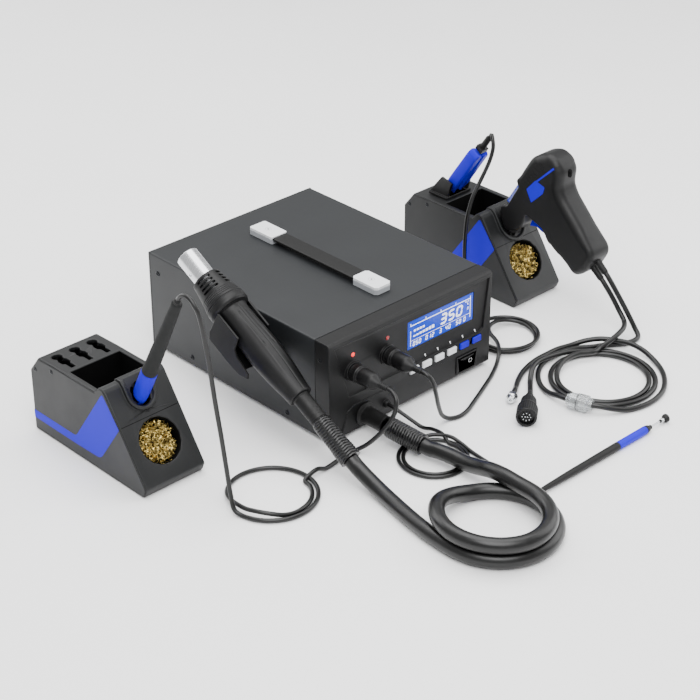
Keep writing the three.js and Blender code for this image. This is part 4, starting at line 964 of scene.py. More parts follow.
class STATION_OT_front(bpy.types.Operator):
    """Builds the moulded front: panel, display, keys, switch, sockets, ports and lamps"""
    bl_idname, bl_label = "station.front", "Front panel"

    def execute(self, context):
        black = finish_named("black")
        moulding("front_bezel", black, 0.8, 3)
        moulding("switch_frame", black, 0.9, 3)
        moulding("power_rocker", finish_named("rubber"), 0.6, 3)
        self.rocker_mark()
        for k in range(1, 7):
            moulding(f"key_{k}", finish_named("white" if k < 5 else "blue"), 1.0, 3)
        self.display()
        self.key_marks()
        self.lamps()
        self.sockets(black)
        self.ports()
        return {"FINISHED"}

    def rocker_mark(self):
        face = on_front(84, 18.5)
        ring_line = np.stack([2.3 * np.cos(ring(24)), 2.3 * np.sin(ring(24)), np.full(24, 1.0)], 1)
        closed = face(np.vstack([ring_line, ring_line[:1]]))
        bar = slab([[-0.35, -1.9], [0.35, -1.9], [0.35, 1.9], [-0.35, 1.9]], 0.7, 1.0, on_front(75, 18.5))
        piece("rocker_marks", together(tube(closed, 0.28, 8), bar), finish_named("mark"), "rocker")

    def display(self):
        low, high = (np.array(c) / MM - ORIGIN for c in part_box("display_window"))
        (x0, _, z0), (x1, _, z1), y = low, high, low[1]
        w, h = x1 - x0, z1 - z0
        window = Place(((x0 + x1) / 2, y, (z0 + z1) / 2), (0, -1, 0), (0, 0, 1))
        piece("display_cell", slab(corner_block(w, h, 0.6), -1.9, 0, window), finish_named("display"),
              "station",
              ["display_window"])
        bars = [(0, h / 2 - 5.2, w - 8, 0.9)]
        bars += [(-w / 2 + 4 + k * (w - 8) / 4, h / 2 - 4.4 + (0.8 if k % 4 else 0.2), 0.7,
                  2.4 if k % 4 else 3.4)
                 for k in range(5)]
        bars += [(w / 2 - 4, 0, 0.8, h - 8), (-w / 2 + 4, -h / 2 + 11.5, 0.8, h - 14)]
        bars += [(0, -h / 2 + 8.6, w - 8, 0.35)]
        bars += [(-w / 2 + 10 + k * 4.1, 3.6, 2.9, 2.2) for k in range(4)]
        bars += [(-w / 2 + 9.5 + k * 4.4, -2.4 + 0.15 * k, 3.4, 1.4 + 0.35 * k) for k in range(7)]
        lines = [slab([[x - a / 2, z - b / 2], [x + a / 2, z - b / 2], [x + a / 2, z + b / 2],
                       [x - a / 2, z + b / 2]],
                      -0.1, 0.12, window) for x, z, a, b in bars]
        lines += [self.digit(d, x, 1.4, 9.4, 12.4, 2.5, window) for d,
                  x in (("3", 4.2), ("5", 15.6), ("0", 27))]
        small = (("0", -38), ("5", -33.8), ("0", -29.6), ("0", -20), ("1", -15.5), ("2", -11), ("3", 0),
                 ("4", 8.5),
                 ("0", 13), ("5", 24), ("0", 28.3), ("0", 35))
        lines += [self.digit(d, x, -h / 2 + 4.4, 3.3, 5.4, 1.0, window) for d, x in small]
        lines += [self.digit("c", 40, h / 2 - 9, 2.6, 4.6, 0.75, window),
                  self.digit("0", 39.5, 0, 2.0, 3.2, 0.6, window)]
        degree = np.stack([36.4 + 0.8 * np.cos(ring(13)), h / 2 - 7.2 + 0.8 * np.sin(ring(13)),
                           np.full(13, 0.1)], 1)
        lines.append(tube(window(np.vstack([degree, degree[:1]])), 0.22, 6))
        piece("display_cells_lit", together(*lines), finish_named("cells"), "station")

    def digit(self, name, x, z, w, h, t, place):
        """Seven-segment figure leaning by a sixth: each bar is a hexagon of width t."""
        on = {"0": "abcdef", "1": "bc", "2": "abged", "3": "abgcd", "4": "fgbc", "5": "afgcd",
              "c": "afed"}[name]
        u, v = w / 2 - t / 2, h / 2 - t / 2
        ends = {"a": ((-u, v), (u, v)), "g": ((-u, 0), (u, 0)), "d": ((-u, -v), (u, -v)),
                "f": ((-u, v), (-u, 0)),
                "b": ((u, v), (u, 0)), "e": ((-u, 0), (-u, -v)), "c": ((u, 0), (u, -v))}
        shapes = []
        for k in on:
            p, q = (np.array(e, float) for e in ends[k])
            d = unit(q - p) * (t / 2) * 0.9
            n = np.array([-d[1], d[0]])
            shape = np.array([p - d * 0.1, p + d + n, q - d + n, q + d * 0.1, q - d - n, p + d - n])
            shape[:, 0] += shape[:, 1] / 6
            shapes.append(slab(shape + (x, z), -0.1, 0.14, place))
        return together(*shapes)

    def key_marks(self):
        marks = []
        for k in range(6):
            x, z = 2.3 + k * 18.2 - 1, 48.6
            wedge = soft_corners([[x - 1.3, z + 1.9], [x + 0.6, z + 1.9], [x + 1.4, z - 1.6],
                                  [x + 0.9, z - 1.9]], 0.3)
            marks.append(slab(wedge, -2.05, -1.85, Place((0, FRONT, 0), (0, -1, 0), (0, 0, 1))))
        piece("key_marks", together(*marks), finish_named("mark"), "station")

    def lamps(self):
        for name, x, z in (("lamp", -80.6, 89.2), ("lamp_dim", -33.8, 89.4)):
            t = np.linspace(0, math.pi / 2, 7)
            dome = np.vstack([[0, -RECESS - 0.6], [2.3, -RECESS - 0.6],
                              np.stack([2.3 * np.cos(t), 0.9 * np.sin(t) - RECESS], 1)])
            piece("heating_" + name, turned(dome, on_front(x, z), 32), finish_named(name), "station")

    def sockets(self, black):
        knurl = lambda a, s: np.where((s > 2.6) & (s < 7.6), -0.35 * np.abs(np.sin(14 * a)), 0)
        for x, node in zip(SOCKET_X, ("iron_plug", "tweezer_plug")):
            flange = [[7.6, -1.5], [9.9, -1.5], [9.9, 0.6], [9.4, 1.05], [8.2, 1.05], [7.6, 0.6]]
            piece(f"socket_ring_{node.split('_')[0]}", turned(soft_corners(flange + flange[:1], 0.2, False), on_front(x, SOCKET_Z)),
                  finish_named("screw"), "station")
            body = [[7.0, -3.6], [7.0, 1.3], [9.3, 1.4], [9.3, 2.2], [9.35, 8.4], [8.7, 9.2], [8.7, 10.6],
                    [8.1, 11],
                    [8.1, 11.7], [8.7, 12], [8.75, 26], [8.3, 28], [5.2, 32.6], [4.2, 34.2], [3.6, 35]]
            sleeve = dense([[3.6, 35], [3.1, PLUG_LONG - 1], [2.6, PLUG_LONG]], 0.3)
            profile = dense(solid_profile(body + sleeve[1:].tolist(), 0.5), 0.8)
            relief = lambda a, s: knurl(a, s) + np.where((s > 35.4) & (s < 45.4), ribbed(s, 2.4, 0.55), 0)
            piece(node.replace("_plug", "_connector"), turned(profile, on_front(x, SOCKET_Z), 84, relief),
                  black,
                  "station", [node], sharp=50)

    def ports(self):
        rubber = finish_named("rubber")
        x, z = HOSE_PORT
        sleeve = [[12.4, 1.6], [12.4, 3.2], [10.6, 4.2], [9.1, 5], [9, 29.4], [9.3, 30],
                  [9.3, PORT_SLEEVE - GAP],
                  [7.0, PORT_SLEEVE - GAP], [7.0, -15.7], [8.8, -15.7], [8.9, 1.6]]
        piece("hose_sleeve", turned(soft_corners(sleeve + sleeve[:1], 0.4, False), on_front(x, z)), rubber,
              "station",
              ["hose_port"])
        x, z = VAC_PORT
        collar = [[2.3, 2.9], [4.4, 2.9], [4.4, 4.1], [3.6, 5.6], [2.3, 5.8]]
        piece("vacuum_port_collar", turned(soft_corners(collar + collar[:1], 0.3, False), on_front(x, z),
                                           40), rubber, "station")


class STATION_OT_strap(bpy.types.Operator):
    """Builds the carrying strap and its two screwed caps"""
    bl_idname, bl_label = "station.strap", "Carrying strap"

    def execute(self, context):
        cap_w, cap_l, cap_h, cap_y, strap_w, strap_t, roof = 22.0, 36.0, 8.4, 78.0, 19.4, 3.0, 1.0
        middle = Place((0, 0, TOP + cap_h - roof - strap_t / 2), (0, 1, 0), (0, 0, 1))
        band = slab(corner_block(strap_w, strap_t, 1.2), -cap_y - 7, cap_y + 7, middle)
        piece("webbing_strap", band, finish_named("rubber"), "station", ["carry_strap"],
              sharp=60)
        for sign, end in ((-1, "front"), (1, "rear")):
            node = f"strap_cap_{end}"
            corner = 2.8 if sign < 0 else 1.4
            half_w, half_l = cap_w / 2, cap_l / 2
            outline = soft_corners([[-half_w, -half_l], [half_w, -half_l], [half_w, half_l],
                                    [-half_w, half_l]], corner, steps=1)
            base = TOP + GAP
            skirt = slab(outline, 0, 5.4, Place((0, sign * cap_y, base)))
            piece(f"{node}_skirt", skirt, finish_named("light"), "station", [], 20, 0.3)
            lid = slab(outline * 0.99, 5.45, cap_h, Place((0, sign * cap_y, base)))
            piece(f"{node}_lid", lid, finish_named("white"), "station", [node], 20, 0.45, 3)
            centre = Place((0, sign * cap_y, base + cap_h))
            dimple = [[3.5, -0.4], [3.5, 0.05], [3.25, 0.08], [3.1, -0.05]]
            piece(f"{node}_ring", turned(soft_corners(dimple + dimple[:1], 0.05, False), centre, 40),
                  finish_named("light"),
                  "station")
            piece(f"{node}_screw", pan_screw(centre, 1.0, 0.25, 0.05), finish_named("hollow"), "station")
        return {"FINISHED"}


# ---------------------------------------------------------------- hot air handpiece
class STATION_OT_handpiece(bpy.types.Operator):
    """Builds the hot air handpiece: bright tube, vented collar, two-part handle and spring guard"""
    bl_idname, bl_label = "station.handpiece", "Hot air handpiece"

    def execute(self, context):
        black, rubber, steel = finish_named("black"), finish_named("rubber"), finish_named("steel")
        tube_line = [[10.75, 0.5], [11.2, 0], [TUBE_R, 0.5], [TUBE_R, 66], [10.75, 66], [10.75, 0.5]]
        piece("bright_tube", turned(dense(tube_line, 3), ALONG_GUN, 72), steel, "handpiece",
              ["heater_tube"])
        piece("ceramic_core", turned(solid_profile([[4, 10], [8.4, 12], [8.4, 96], [5, 98]], 1), ALONG_GUN,
                                     40),
              finish_named("ceramic"), "handpiece", ["heater_core"])
        clamp = [pan_screw(Place(ALONG_GUN([side * TUBE_R, 0, 21]), (side, 0, 0), (0, 0, 1)), 1.6, 1.0, 0)
                 for side in (-1, 1)]
        piece("nozzle_clamp_screws", together(*clamp), finish_named("nickel"), "handpiece")
        self.collar(black)
        self.handle(black)
        tail = [[8.2, TAIL_S - 12], [9.4, TAIL_S - 2], [9.4, TAIL_S + 0.8], [8.9, TAIL_S + 1.6],
                [8.8, GUARD_S - 4],
                [8.75, GUARD_S - GAP]]
        piece("tail_sleeve", turned(dense(solid_profile(tail, 0.5), 1.0), ALONG_GUN, 56,
                                    lambda a, s: np.where((s > 204) & (s < 214), ribbed(s, 2.4, 0.5), 0)),
              rubber, "handpiece", ["hose_guard"], sharp=60)
        guard = dense(solid_profile([[8.7, GUARD_S], [9.9, GUARD_S + 4], [10.2, 248], [10.9, 256],
                                     [11, GUARD_END_S]], 0.4), 0.3)
        piece("gun_spring_guard", turned(guard, ALONG_GUN, 64,
                                         lambda a, s: np.where(s < GUARD_END_S - 0.6,
                                                               wound(a, s, 2.9, 1.15), 0)),
              finish_named("wire"), "handpiece", sharp=70)
        return {"FINISHED"}

    def collar(self, black):
        """Collar with four vents on each side: where a vent is, the surface dips under the tube."""
        outer = np.array([[TUBE_R + 3.3, COLLAR_S], [TUBE_R + 3.7, COLLAR_S + 1], [15.6, 37], [16.8, 44],
                          [18.4, 52],
                          [19.2, 56], [20.6, 61], [20.9, 63.6], [20.5, 64.2], [20.5, 65], [21.4, 65.8],
                          [21.5, 70],
                          [21.3, 72], [20, HANDLE_S - GAP]])
        vents = [COLLAR_S + 2.6 + k * 4.6 for k in range(4)]
        s = np.unique(np.concatenate([outer[:, 1], np.linspace(COLLAR_S, HANDLE_S - GAP, 140),
                                      *[(v, v + 0.12, v + 2.4, v + 2.52) for v in vents]]))
        r = np.interp(s, outer[:, 1], outer[:, 0])
        lip = [[TUBE_R + GAP, COLLAR_S + 1.8], [TUBE_R + GAP, COLLAR_S], [r[0], s[0]]]
        profile = np.stack([r, s], 1)

        def vent(a, at):
            side = np.degrees(np.arcsin(np.clip(np.abs(np.cos(a)), 0, 1)))
            in_side = (np.sin(a) > 0) & (side > 15) & (side < 74)
            dip = np.zeros_like(at)
            for v in vents:
                dip = np.where(in_side & (at > v + 0.06) & (at < v + 2.46), 1.0, dip)
            radius = np.interp(at, s, r)
            rings = np.where((at > 53) & (at < 61.4), ribbed(at, 2.1, 0.7), 0)
            return np.where(dip > 0, -(radius - TUBE_R + 0.5), rings)

        shape = turned(profile[:len(s)], Place(), 120, vent)
        lining = turned(np.array(lip), Place(), 120)
        points, faces = together(shape, lining)
        piece("vented_collar", (ALONG_GUN(points), faces), black, "handpiece", ["vent_collar"],
              sharp=40)

    def handle(self, black):
        """Turned grip: r drops by 0.5 along the split on either side, and by 0.35 in a panel line."""
        outer = [[20.2, HANDLE_S], [16.6, HANDLE_S + 1.2], [15.7, 80], [15.6, 84], [15.8, 94], [16.6, 108],
                 [17.2, 120],
                 [17.4, 130], [16.8, 145], [15.9, 156], [14.9, 166], [13.4, 178], [12.9, 184],
                 [12.7, TAIL_S - 1],
                 [12.1, TAIL_S - GAP], [9.9, TAIL_S - GAP]]
        profile = dense(soft_corners(outer, 1.4, False), 0.8)

        def lines(a, s):
            split = np.abs(np.cos(a)) < 0.028
            top = np.degrees(np.abs(a - math.pi / 2))
            edge = 15 + 0.06 * (s - 84)
            panel = (s > 84) & (s < 132) & (np.abs(top - edge) < 2.4)
            ridge = np.exp(-((top - edge - 6) / 5) ** 2) * ease(s, 90, 110) * (1 - ease(s, 150, 176))
            return np.where(split, -0.4, 0) - np.where(panel, 0.5, 0) + 0.35 * ridge

        shape = turned(profile, ALONG_GUN, 144, lines)
        inside = turned(np.array([[9.9, TAIL_S - GAP], [13.4, 130], [13.4, HANDLE_S + 3],
                                  [20.2, HANDLE_S]]), ALONG_GUN, 144)
        piece("handle_shells", together(shape, inside), black, "handpiece",
              ["handpiece_shell_left", "handpiece_shell_right"],
              sharp=50)


class STATION_OT_cradle(bpy.types.Operator):
    """Builds the side cradle that the handpiece hangs in"""
    bl_idname, bl_label = "station.cradle", "Side cradle"

    def execute(self, context):
        moulding("gun_cradle", finish_named("black"), 0.7, 3)
        return {"FINISHED"}


class STATION_OT_hose_guard(bpy.types.Operator):
    """Builds the wound wire guard where the air hose leaves the front"""
    bl_idname, bl_label = "station.hose_guard", "Hose guard"

    def execute(self, context):
        span = np.subtract(SPRING_END, SPRING_START)
        place = Place(SPRING_START, span, (0, 0, 1))
        length = np.linalg.norm(span)
        line = [[8.4, 2.6], [10.1, 4], [SPRING_R, 7], [SPRING_R, length]]
        end = length - 0.5
        piece("station_spring_guard", turned(dense(solid_profile(line, 0.4), 0.3), place, 64,
                                             lambda a, s: np.where(s < end, wound(a, s, 2.9, 1.15), 0)),
              finish_named("wire"), "station", ["spring_station"], sharp=70)
        return {"FINISHED"}


# ---------------------------------------------------------------- holders
SLOPE = unit(np.array([0, -88 + 33.4, 11.5 - 91.6]))
SLOPE_OUT = np.array([0, SLOPE[2], -SLOPE[1]])
WOOL_R, WOOL_Y = 23.0, -67.5


def on_slope(stand, x, y, lift=0.0):
    """A frame on a holder's slope at x across and y along: z out of the slope, y up the slope."""
    z = 91.6 + (y + 33.4) * SLOPE[2] / SLOPE[1]
    origin = np.array([stand[0] + x, stand[1] + y, z]) + SLOPE_OUT * lift
    return Place(origin, SLOPE_OUT, -SLOPE)


class STATION_OT_holders(bpy.types.Operator):
    """Builds the two moulded holders with their funnels, printed panels and brass wool"""
    bl_idname, bl_label = "station.holders", "Holders"

    def execute(self, context):
        for number, stand in enumerate(STANDS, 1):
            grey, body = finish_named("grey"), f"stand_{number}"
            moulding(f"{body}_shell", grey, 0.9, 3)
            self.panels(stand, body)
            self.tray(stand, body)
            self.wool(stand, body, number)
            screws = [pan_screw(Place((stand[0] + (0 if side < 0 else STAND_W), stand[1] + y, z),
                                      (side, 0, 0), (0, 0, 1)),
                                2.6, 0.8, 0.15) for side in (-1, 1) for y,
                                z in ((79.2, 71.3), (51.9, 79.6))]
            piece(f"{body}_screws", together(*screws), finish_named("screw"), "station")
        return {"FINISHED"}

    def panels(self, stand, body):
        """Printed blue panel on both sides, and the seam across the slope."""
        outline = soft_corners([[-29.2, 90], [-52.3, 60.7], [-20.1, 15], [18.3, 14], [86.9, 14],
                                [86.9, 22.5], [18.3, 22.8]],
                               [3, 1, 6, 1, 0.4, 0.4, 4])
        shapes = []
        for side in (-1, 1):
            x = stand[0] + (0 if side < 0 else STAND_W)
            flat = outline * (1, 1) if side > 0 else outline * (-1, 1)
            shapes.append(slab(flat + (side * stand[1], 0), -0.4, 0.12,
                               Place((x, 0, 0), (side, 0, 0), (0, 0, 1))))
        piece(f"{body}_blue_panels", together(*shapes), finish_named("print"), "station")
        slope = on_slope(stand, STAND_W / 2, -53.3)
        seam = slab([[-STAND_W / 2 + 2, -0.3], [STAND_W / 2 - 2, -0.3], [STAND_W / 2 - 2, 0.3],
                     [-STAND_W / 2 + 2, 0.3]],
                    -0.5, 0.03, slope)
        piece(f"{body}_seam", seam, finish_named("hollow"), "station")

    def tray(self, stand, body):
        """Near-black lining of the sunk tray, painted shade inside it: an open box whose walls lean in by one in forty.
        """
        x0, x1, y0, y1 = stand[0] + 6.9, stand[0] + STAND_W - 6.9, stand[1] - 18.7, stand[1] + 28.7
        top, floor = 86.2, 47.3
        ring_at = lambda z, d: [[x0 + d, y0 + d, z], [x1 - d, y0 + d, z], [x1 - d, y1 - d, z],
                                [x0 + d, y1 - d, z]]
        points = np.array(ring_at(top, 0) + ring_at(floor, 1.0))
        faces = [[k, k + 4, (k + 1) % 4 + 4, (k + 1) % 4] for k in range(4)] + [[4, 7, 6, 5]]
        # The lining is painted shade: a near-black box that keeps the inside of the tray dark under any light.
        lining = piece(f"{body}_tray_painted_shade", (points, faces), finish_named("hollow"), "station")
        flip = bmesh.new()
        flip.from_mesh(lining.data)
        bmesh.ops.recalc_face_normals(flip, faces=flip.faces)
        bmesh.ops.reverse_faces(flip, faces=flip.faces)
        flip.to_mesh(lining.data)
        flip.free()

    def wool(self, stand, body, seed):
        """Pad of turnings: each strand is a helix segment laid at random in the window, with a flat
        four-sided section. The random draw is seeded."""
        slope = on_slope(stand, STAND_W / 2, WOOL_Y)
        draw = np.random.default_rng(7 + seed)
        count, steps = 400, 24
        place = draw.random((count, 2))
        r, a = (WOOL_R - 3.5) * np.sqrt(place[:, 0]), 2 * np.pi * place[:, 1]
        dome = 3.4 * (1 - (r / WOOL_R) ** 2)
        centre = np.stack([r * np.cos(a), r * np.sin(a), -11.0 + dome + 6.0 * draw.random(count)], 1)
        heading, lean = 2 * np.pi * draw.random(count), 0.5 * draw.standard_normal(count)
        along = np.stack([np.cos(heading) * np.cos(lean), np.sin(heading) * np.cos(lean), np.sin(lean)], 1)
        side = unit(np.cross(along, [0, 0, 1.0]))
        up = np.cross(side, along)
        coil, pitch, turns = 1.2 + 1.9 * draw.random(count), 1.8 + 2.2 * draw.random(count), 0.8 + 0.9 * draw.random(count)
        t = np.linspace(-0.5, 0.5, steps)
        phase = 2 * np.pi * (turns[:, None] * t + draw.random(count)[:, None])
        line = (centre[:, None] + along[:, None] * (t * pitch[:, None] * turns[:, None] * 1.3)[..., None]
                + side[:, None] * (coil[:, None] * np.cos(phase))[..., None]
                + up[:, None] * (coil[:, None] * np.sin(phase))[..., None])
        reach = np.linalg.norm(line[..., :2], axis=-1, keepdims=True)
        line[..., :2] *= np.minimum(1, (WOOL_R - 1.2) / np.maximum(reach, 1e-6))
        line[..., 2] = np.clip(line[..., 2], -15, -2.2)
        width, thick = 0.4 + 0.35 * draw.random(count), 0.12
        tangent = unit(np.gradient(line, axis=1))
        normal = unit(np.cross(tangent, unit(line - centre[:, None] + 1e-6)))
        across = np.cross(tangent, normal)
        corners = [(1, 1), (-1, 1), (-1, -1), (1, -1)]
        points = np.stack([line + normal * (cw * width / 2)[:, None, None] + across * ct * thick for cw,
                           ct in
                           ((c[0] * np.ones(count), c[1]) for c in corners)], 2)
        strand = grid_faces(steps, 4, True)
        faces = (strand[None] + (np.arange(count) * steps * 4)[:, None, None]).reshape(-1, 4)
        caps = np.concatenate([np.array([[3, 2, 1, 0]]), np.array([[0, 1, 2, 3]]) + (steps - 1) * 4])
        faces = np.concatenate([faces, (caps[None] + (np.arange(count) * steps * 4)[:, None, None]).reshape(-1, 4)])
        piece(f"{body}_brass_strands", (slope(points.reshape(-1, 3)), faces), finish_named("brass"),
              "station",
              [f"{body}_wool"], sharp=60)
        # Near-black cup under the strands: painted shade beneath the wool.
        cup = [[0, -15.6], [WOOL_R - 0.6, -15.6], [WOOL_R - 0.45, -1.4], [WOOL_R - 0.5, -1.0],
               [WOOL_R - 0.9, -1.4],
               [WOOL_R - 1.2, -14.8], [0, -14.8]]
        piece(f"{body}_wool_painted_shade_cup", turned(dense(cup, 3), slope, 72), finish_named("hollow"), "station")


# ---------------------------------------------------------------- hand tools
class STATION_OT_iron(bpy.types.Operator):
    """Builds the soldering iron: barrel, blue grip, foam handle and strain relief"""
    bl_idname, bl_label = "station.iron", "Soldering iron"

    def execute(self, context):
        grip_end = 33.0
        top = grip_end + 103.0
        piece("iron_heater", turned(solid_profile([[0.6, -46], [3.2, -34], [3.2, -20], [6, -19],
                                                   [6, -11.3]], 0.4), ALONG_IRON, 40),
              finish_named("steel"), "iron", ["iron_barrel"])
        grip = [[6.6, -11], [7.4, -6], [7.8, 2], [8, 12], [8, grip_end - GAP]]
        piece("blue_grip", turned(dense(solid_profile(grip, 0.6), 0.5), ALONG_IRON, 64,
                                  lambda a, s: np.where((s > 24) & (s < 30), ribbed(s, 2, 0.12), 0)),
              finish_named("blue"), "iron", ["iron_grip"])
        handle = [[7.9, grip_end], [7.9, grip_end + 1.4], [7.3, grip_end + 6], [6.9, grip_end + 30],
                  [5.9, grip_end + 66], [5.5, grip_end + 88], [5.2, top - 10], [5.3, top - 3],
                  [5.0, top - 1], [3.4, top]]
        piece("iron_handle_foam", turned(dense(solid_profile(handle, 0.9), 1.2), ALONG_IRON, 64),
              finish_named("foam"), "iron",
              ["iron_handle"])
        ring_line = [[3.0, top - 1], [4.0, top - 0.4], [4.2, top + 0.2], [3.4, top + 0.6],
                     [2.5, top + 0.3], [2.5, top - 1]]
        piece("iron_tail_ring", turned(soft_corners(ring_line + ring_line[:1], 0.2, False), ALONG_IRON, 48),
              finish_named("rubber"), "iron")
        return {"FINISHED"}


class STATION_OT_pen(bpy.types.Operator):
    """Builds the vacuum pick-up pen: tapered barrel, ribbed blue grip, needle and suction cup"""
    bl_idname, bl_label = "station.pen", "Vacuum pen"

    def execute(self, context):
        end = 186.0
        barrel = [[2.1, 0], [2.5, 1.2], [2.8, 7], [3.6, 40], [4.2, 100], [4.25, 110.4]]
        piece("pen_barrel", turned(dense(solid_profile(barrel, 0.5), 2), ALONG_PEN, 48),
              finish_named("rubber"), "station",
              ["pen_body"])
        grip = [[4.0, 110.4], [4.25, 111], [4.3, 151.4], [4.1, 152]]
        piece("pen_grip", turned(dense(solid_profile(grip, 0.3), 0.3), ALONG_PEN, 48,
                                 lambda a, s: np.where((s > 112) & (s < 151), ribbed(s, 1.5, 0.16), 0)),
              finish_named("blue"), "station")
        nose = [[3.9, 152], [4.1, 153.2], [3.6, 156.4], [2.4, 158.6], [2.3, 159.6], [2.3, 160.8],
                [1.6, 161]]
        piece("pen_nose", turned(dense(solid_profile(nose, 0.4), 1), ALONG_PEN, 48),
              finish_named("rubber"), "station")
        needle = [[0.9, 160], [0.9, 176]]
        piece("pen_needle", turned(solid_profile(needle, 0.2), ALONG_PEN, 24), finish_named("nickel"),
              "station")
        cup = [[1.6, 175], [1.8, 177.5], [1.6, 180.6], [2.8, 181.4], [4.35, 183.4], [4.4, end - 0.4],
               [4.0, end - 0.2],
               [2.2, 183.6], [0, 183.2]]
        cup = np.vstack([[0, 175], cup])
        piece("suction_cup", turned(soft_corners(cup, 0.3, False), ALONG_PEN, 40), finish_named("rubber"),
              "station")
        hub = [[2.1, 176.4], [2.3, 177], [2.1, 180], [1.5, 180.6]]
        piece("suction_cup_hub", turned(solid_profile(hub, 0.2), ALONG_PEN, 32), finish_named("nickel"),
              "station")
        return {"FINISHED"}


class STATION_OT_tweezers(bpy.types.Operator):
    """Builds the hot tweezers: two faceted blue arms, the hinge and the cradle they stand in"""
    bl_idname, bl_label = "station.tweezers", "Hot tweezers"

    def execute(self, context):
        blue, black = finish_named("blue"), finish_named("black")
        shape = np.array([[4, 0], [0.6, 66], [7, 69], [11, 64], [12, 14], [9, 4], [7, 0]])
        for side, name in ((-1, "left"), (1, "right")):
            outline = soft_corners(shape * (side, 1), [0.4, 0.4, 1.5, 2, 4, 2, 0.5])
            face = Place(ALONG_TWEEZERS([0, 0, 0]), ALONG_TWEEZERS([0, -1, 0]) - ALONG_TWEEZERS([0, 0, 0]),
                         ALONG_TWEEZERS([0, 0, 1]) - ALONG_TWEEZERS([0, 0, 0]))
            body = f"tweezer_{name}"
            piece(f"{body}_shell", cushioned(outline, 7, 2.2, face, steps=3), blue, body,
                  [f"tweezer_arm_{name}"],
                  sharp=24)
        moulding("tweezer_hinge", black, 0.4)
        relief = [[3.6, 75], [4.0, 76.2], [3.7, 77.5], [3.5, 91], [3.0, 92]]
        piece("tweezer_relief", turned(dense(solid_profile(relief, 0.3), 0.5), ALONG_TWEEZERS, 40),
              finish_named("rubber"),
              "station")
        moulding("tweezer_cradle", black, 0.7, 3)
        return {"FINISHED"}


# Side view of the desoldering gun: y, z and how far the edge is rounded there.
DESOLDER_SIDE = ((-38, 76, 4), (-53.8, 81, 4), (-62, 90, 3), (-66.5, 106, 2), (-91, 97.5, 2), (-96, 86, 5),
                 (-107.4, 77, 7),
                 (-121, 69.5, 8), (-138, 57, 7), (-151, 65, 7), (-164, 89, 7), (-134.1, 121.4, 10),
                 (-116, 140, 10),
                 (-110.5, 150.4, 10), (-112.3, 168.4, 10), (-104, 180, 9), (-92, 184.5, 9), (-80, 181, 9),
                 (-68.9, 172.9, 6), (-58, 153, 5), (-51, 141, 2), (-55, 135.5, 1.5), (-39.5, 107, 1.5),
                 (-32, 105.5, 1.5),
                 (-27.6, 98, 3))
CORNER_PER_EDGE, SHARE_OF_SIDE = 1.5, 0.42


class STATION_OT_desolder(bpy.types.Operator):
    """Builds the desoldering gun with its filter tube, trigger, nose, cord reliefs and side marks"""
    bl_idname, bl_label = "station.desolder", "Desoldering gun"

    def execute(self, context):
        black = finish_named("black")
        side = np.array(DESOLDER_SIDE)
        across = Place((GUN_X, 0, 0), (1, 0, 0), (0, 0, 1))
        length = np.linalg.norm(np.roll(side[:, :2], -1, 0) - side[:, :2], axis=1)
        shortest = np.minimum(length, np.roll(length, 1))
        outline = soft_corners(side[:, :2], np.minimum(side[:, 2] * CORNER_PER_EDGE, SHARE_OF_SIDE * shortest), steps=8)
        piece("gun_body", cushioned(outline, 17, np.repeat(side[:, 2], 9), across, steps=10), black,
              "station",
              ["desolder_shell"], sharp=42)
        sleeves = []
        for exit_point in (LINE_EXIT_A, LINE_EXIT_B):
            line = [[3.9, -14], [4.0, 2], [3.7, 5], [3.5, 14], [3.1, 15]]
            sleeves.append(turned(dense(solid_profile(line, 0.4), 1), Place(exit_point, LINE_AIM), 40))
        piece("gun_cord_reliefs", together(*sleeves), finish_named("rubber"), "station")
        nose = [[3, -40], [4.5, -26], [8, -16], [12.2, -6], [12.4, 4], [13.5, 14], [14.5, 24]]
        down = Place((GUN_X, STANDS[1][1] - 43.6, 80.5), TOOL_AXIS,
                     (0, math.cos(TOOL_TILT), math.sin(TOOL_TILT)))
        piece("gun_nose", turned(dense(solid_profile(nose, 1.0), 2), down, 64), black, "station")
        moulding("desolder_trigger", finish_named("blue"), 1.0, 3)
        span = np.subtract((GUN_X, -52.2, 133.5), (GUN_X, -34.5, 104))
        place = Place((GUN_X, -34.5, 104), span)
        length = np.linalg.norm(span)
        piece("filter_tube", turned(dense(solid_profile([[7.5, 0], [7.5, length]], 0.6), 2), place, 56),
              finish_named("tube"),
              "station", ["desolder_filter_tube"])
        self.side_marks()
        return {"FINISHED"}

    def side_marks(self):
        """Blue patch and thin blue line on both sides, ribs of the cap, and the dark eye near the back."""
        patch = soft_corners([[-67, 137], [-79, 151], [-92, 147], [-90, 139], [-74.5, 123.5]], 1.2)
        line = [[-79, 150], [-80.5, 149], [-103.5, 171.5], [-102, 173]]
        blue, rib = [], []
        for side in (-1, 1):
            face = Place((GUN_X + side * 17, 0, 0), (side, 0, 0), (0, 0, 1))
            mirror = np.array([side, 1.0])
            blue += [slab(patch * mirror, -0.6, 0.15, face),
                     slab(np.array(line) * mirror, -0.6, 0.12, face)]
            for k in range(7):
                start = np.array([-63.5 - 2.9 * k, 148 + 4.1 * k])
                bar = np.array([start, start + (-8, -4.6), start + (-8.3, -3.9), start + (-0.3, 0.7)])
                rib.append(slab(bar * mirror, -0.6, 0.3, face))
        back = Place((GUN_X, -112.2, 165), (0, -1, 0.1), (0, 0, 1))
        eye = np.stack([2.8 * np.cos(ring(28)), 4.6 * np.sin(ring(28))], 1)
        dark = [slab(eye, -2, 0.15, back), turned(solid_profile([[1.4, 0], [1.4, 0.9]], 0.3), back, 24)]
        piece("desolder_blue_marks", together(*blue), finish_named("print"), "station")
        piece("desolder_eyes", together(*dark), finish_named("hollow"), "station")
        piece("desolder_cap_ribs", together(*rib), finish_named("black"), "station", bevel=0.15)


# ---------------------------------------------------------------- add-on
def colour(name, description, code):
    return FloatVectorProperty(name=name, description=description, subtype="COLOR", size=3, min=0, max=1,
                               default=linear(code)[:3])


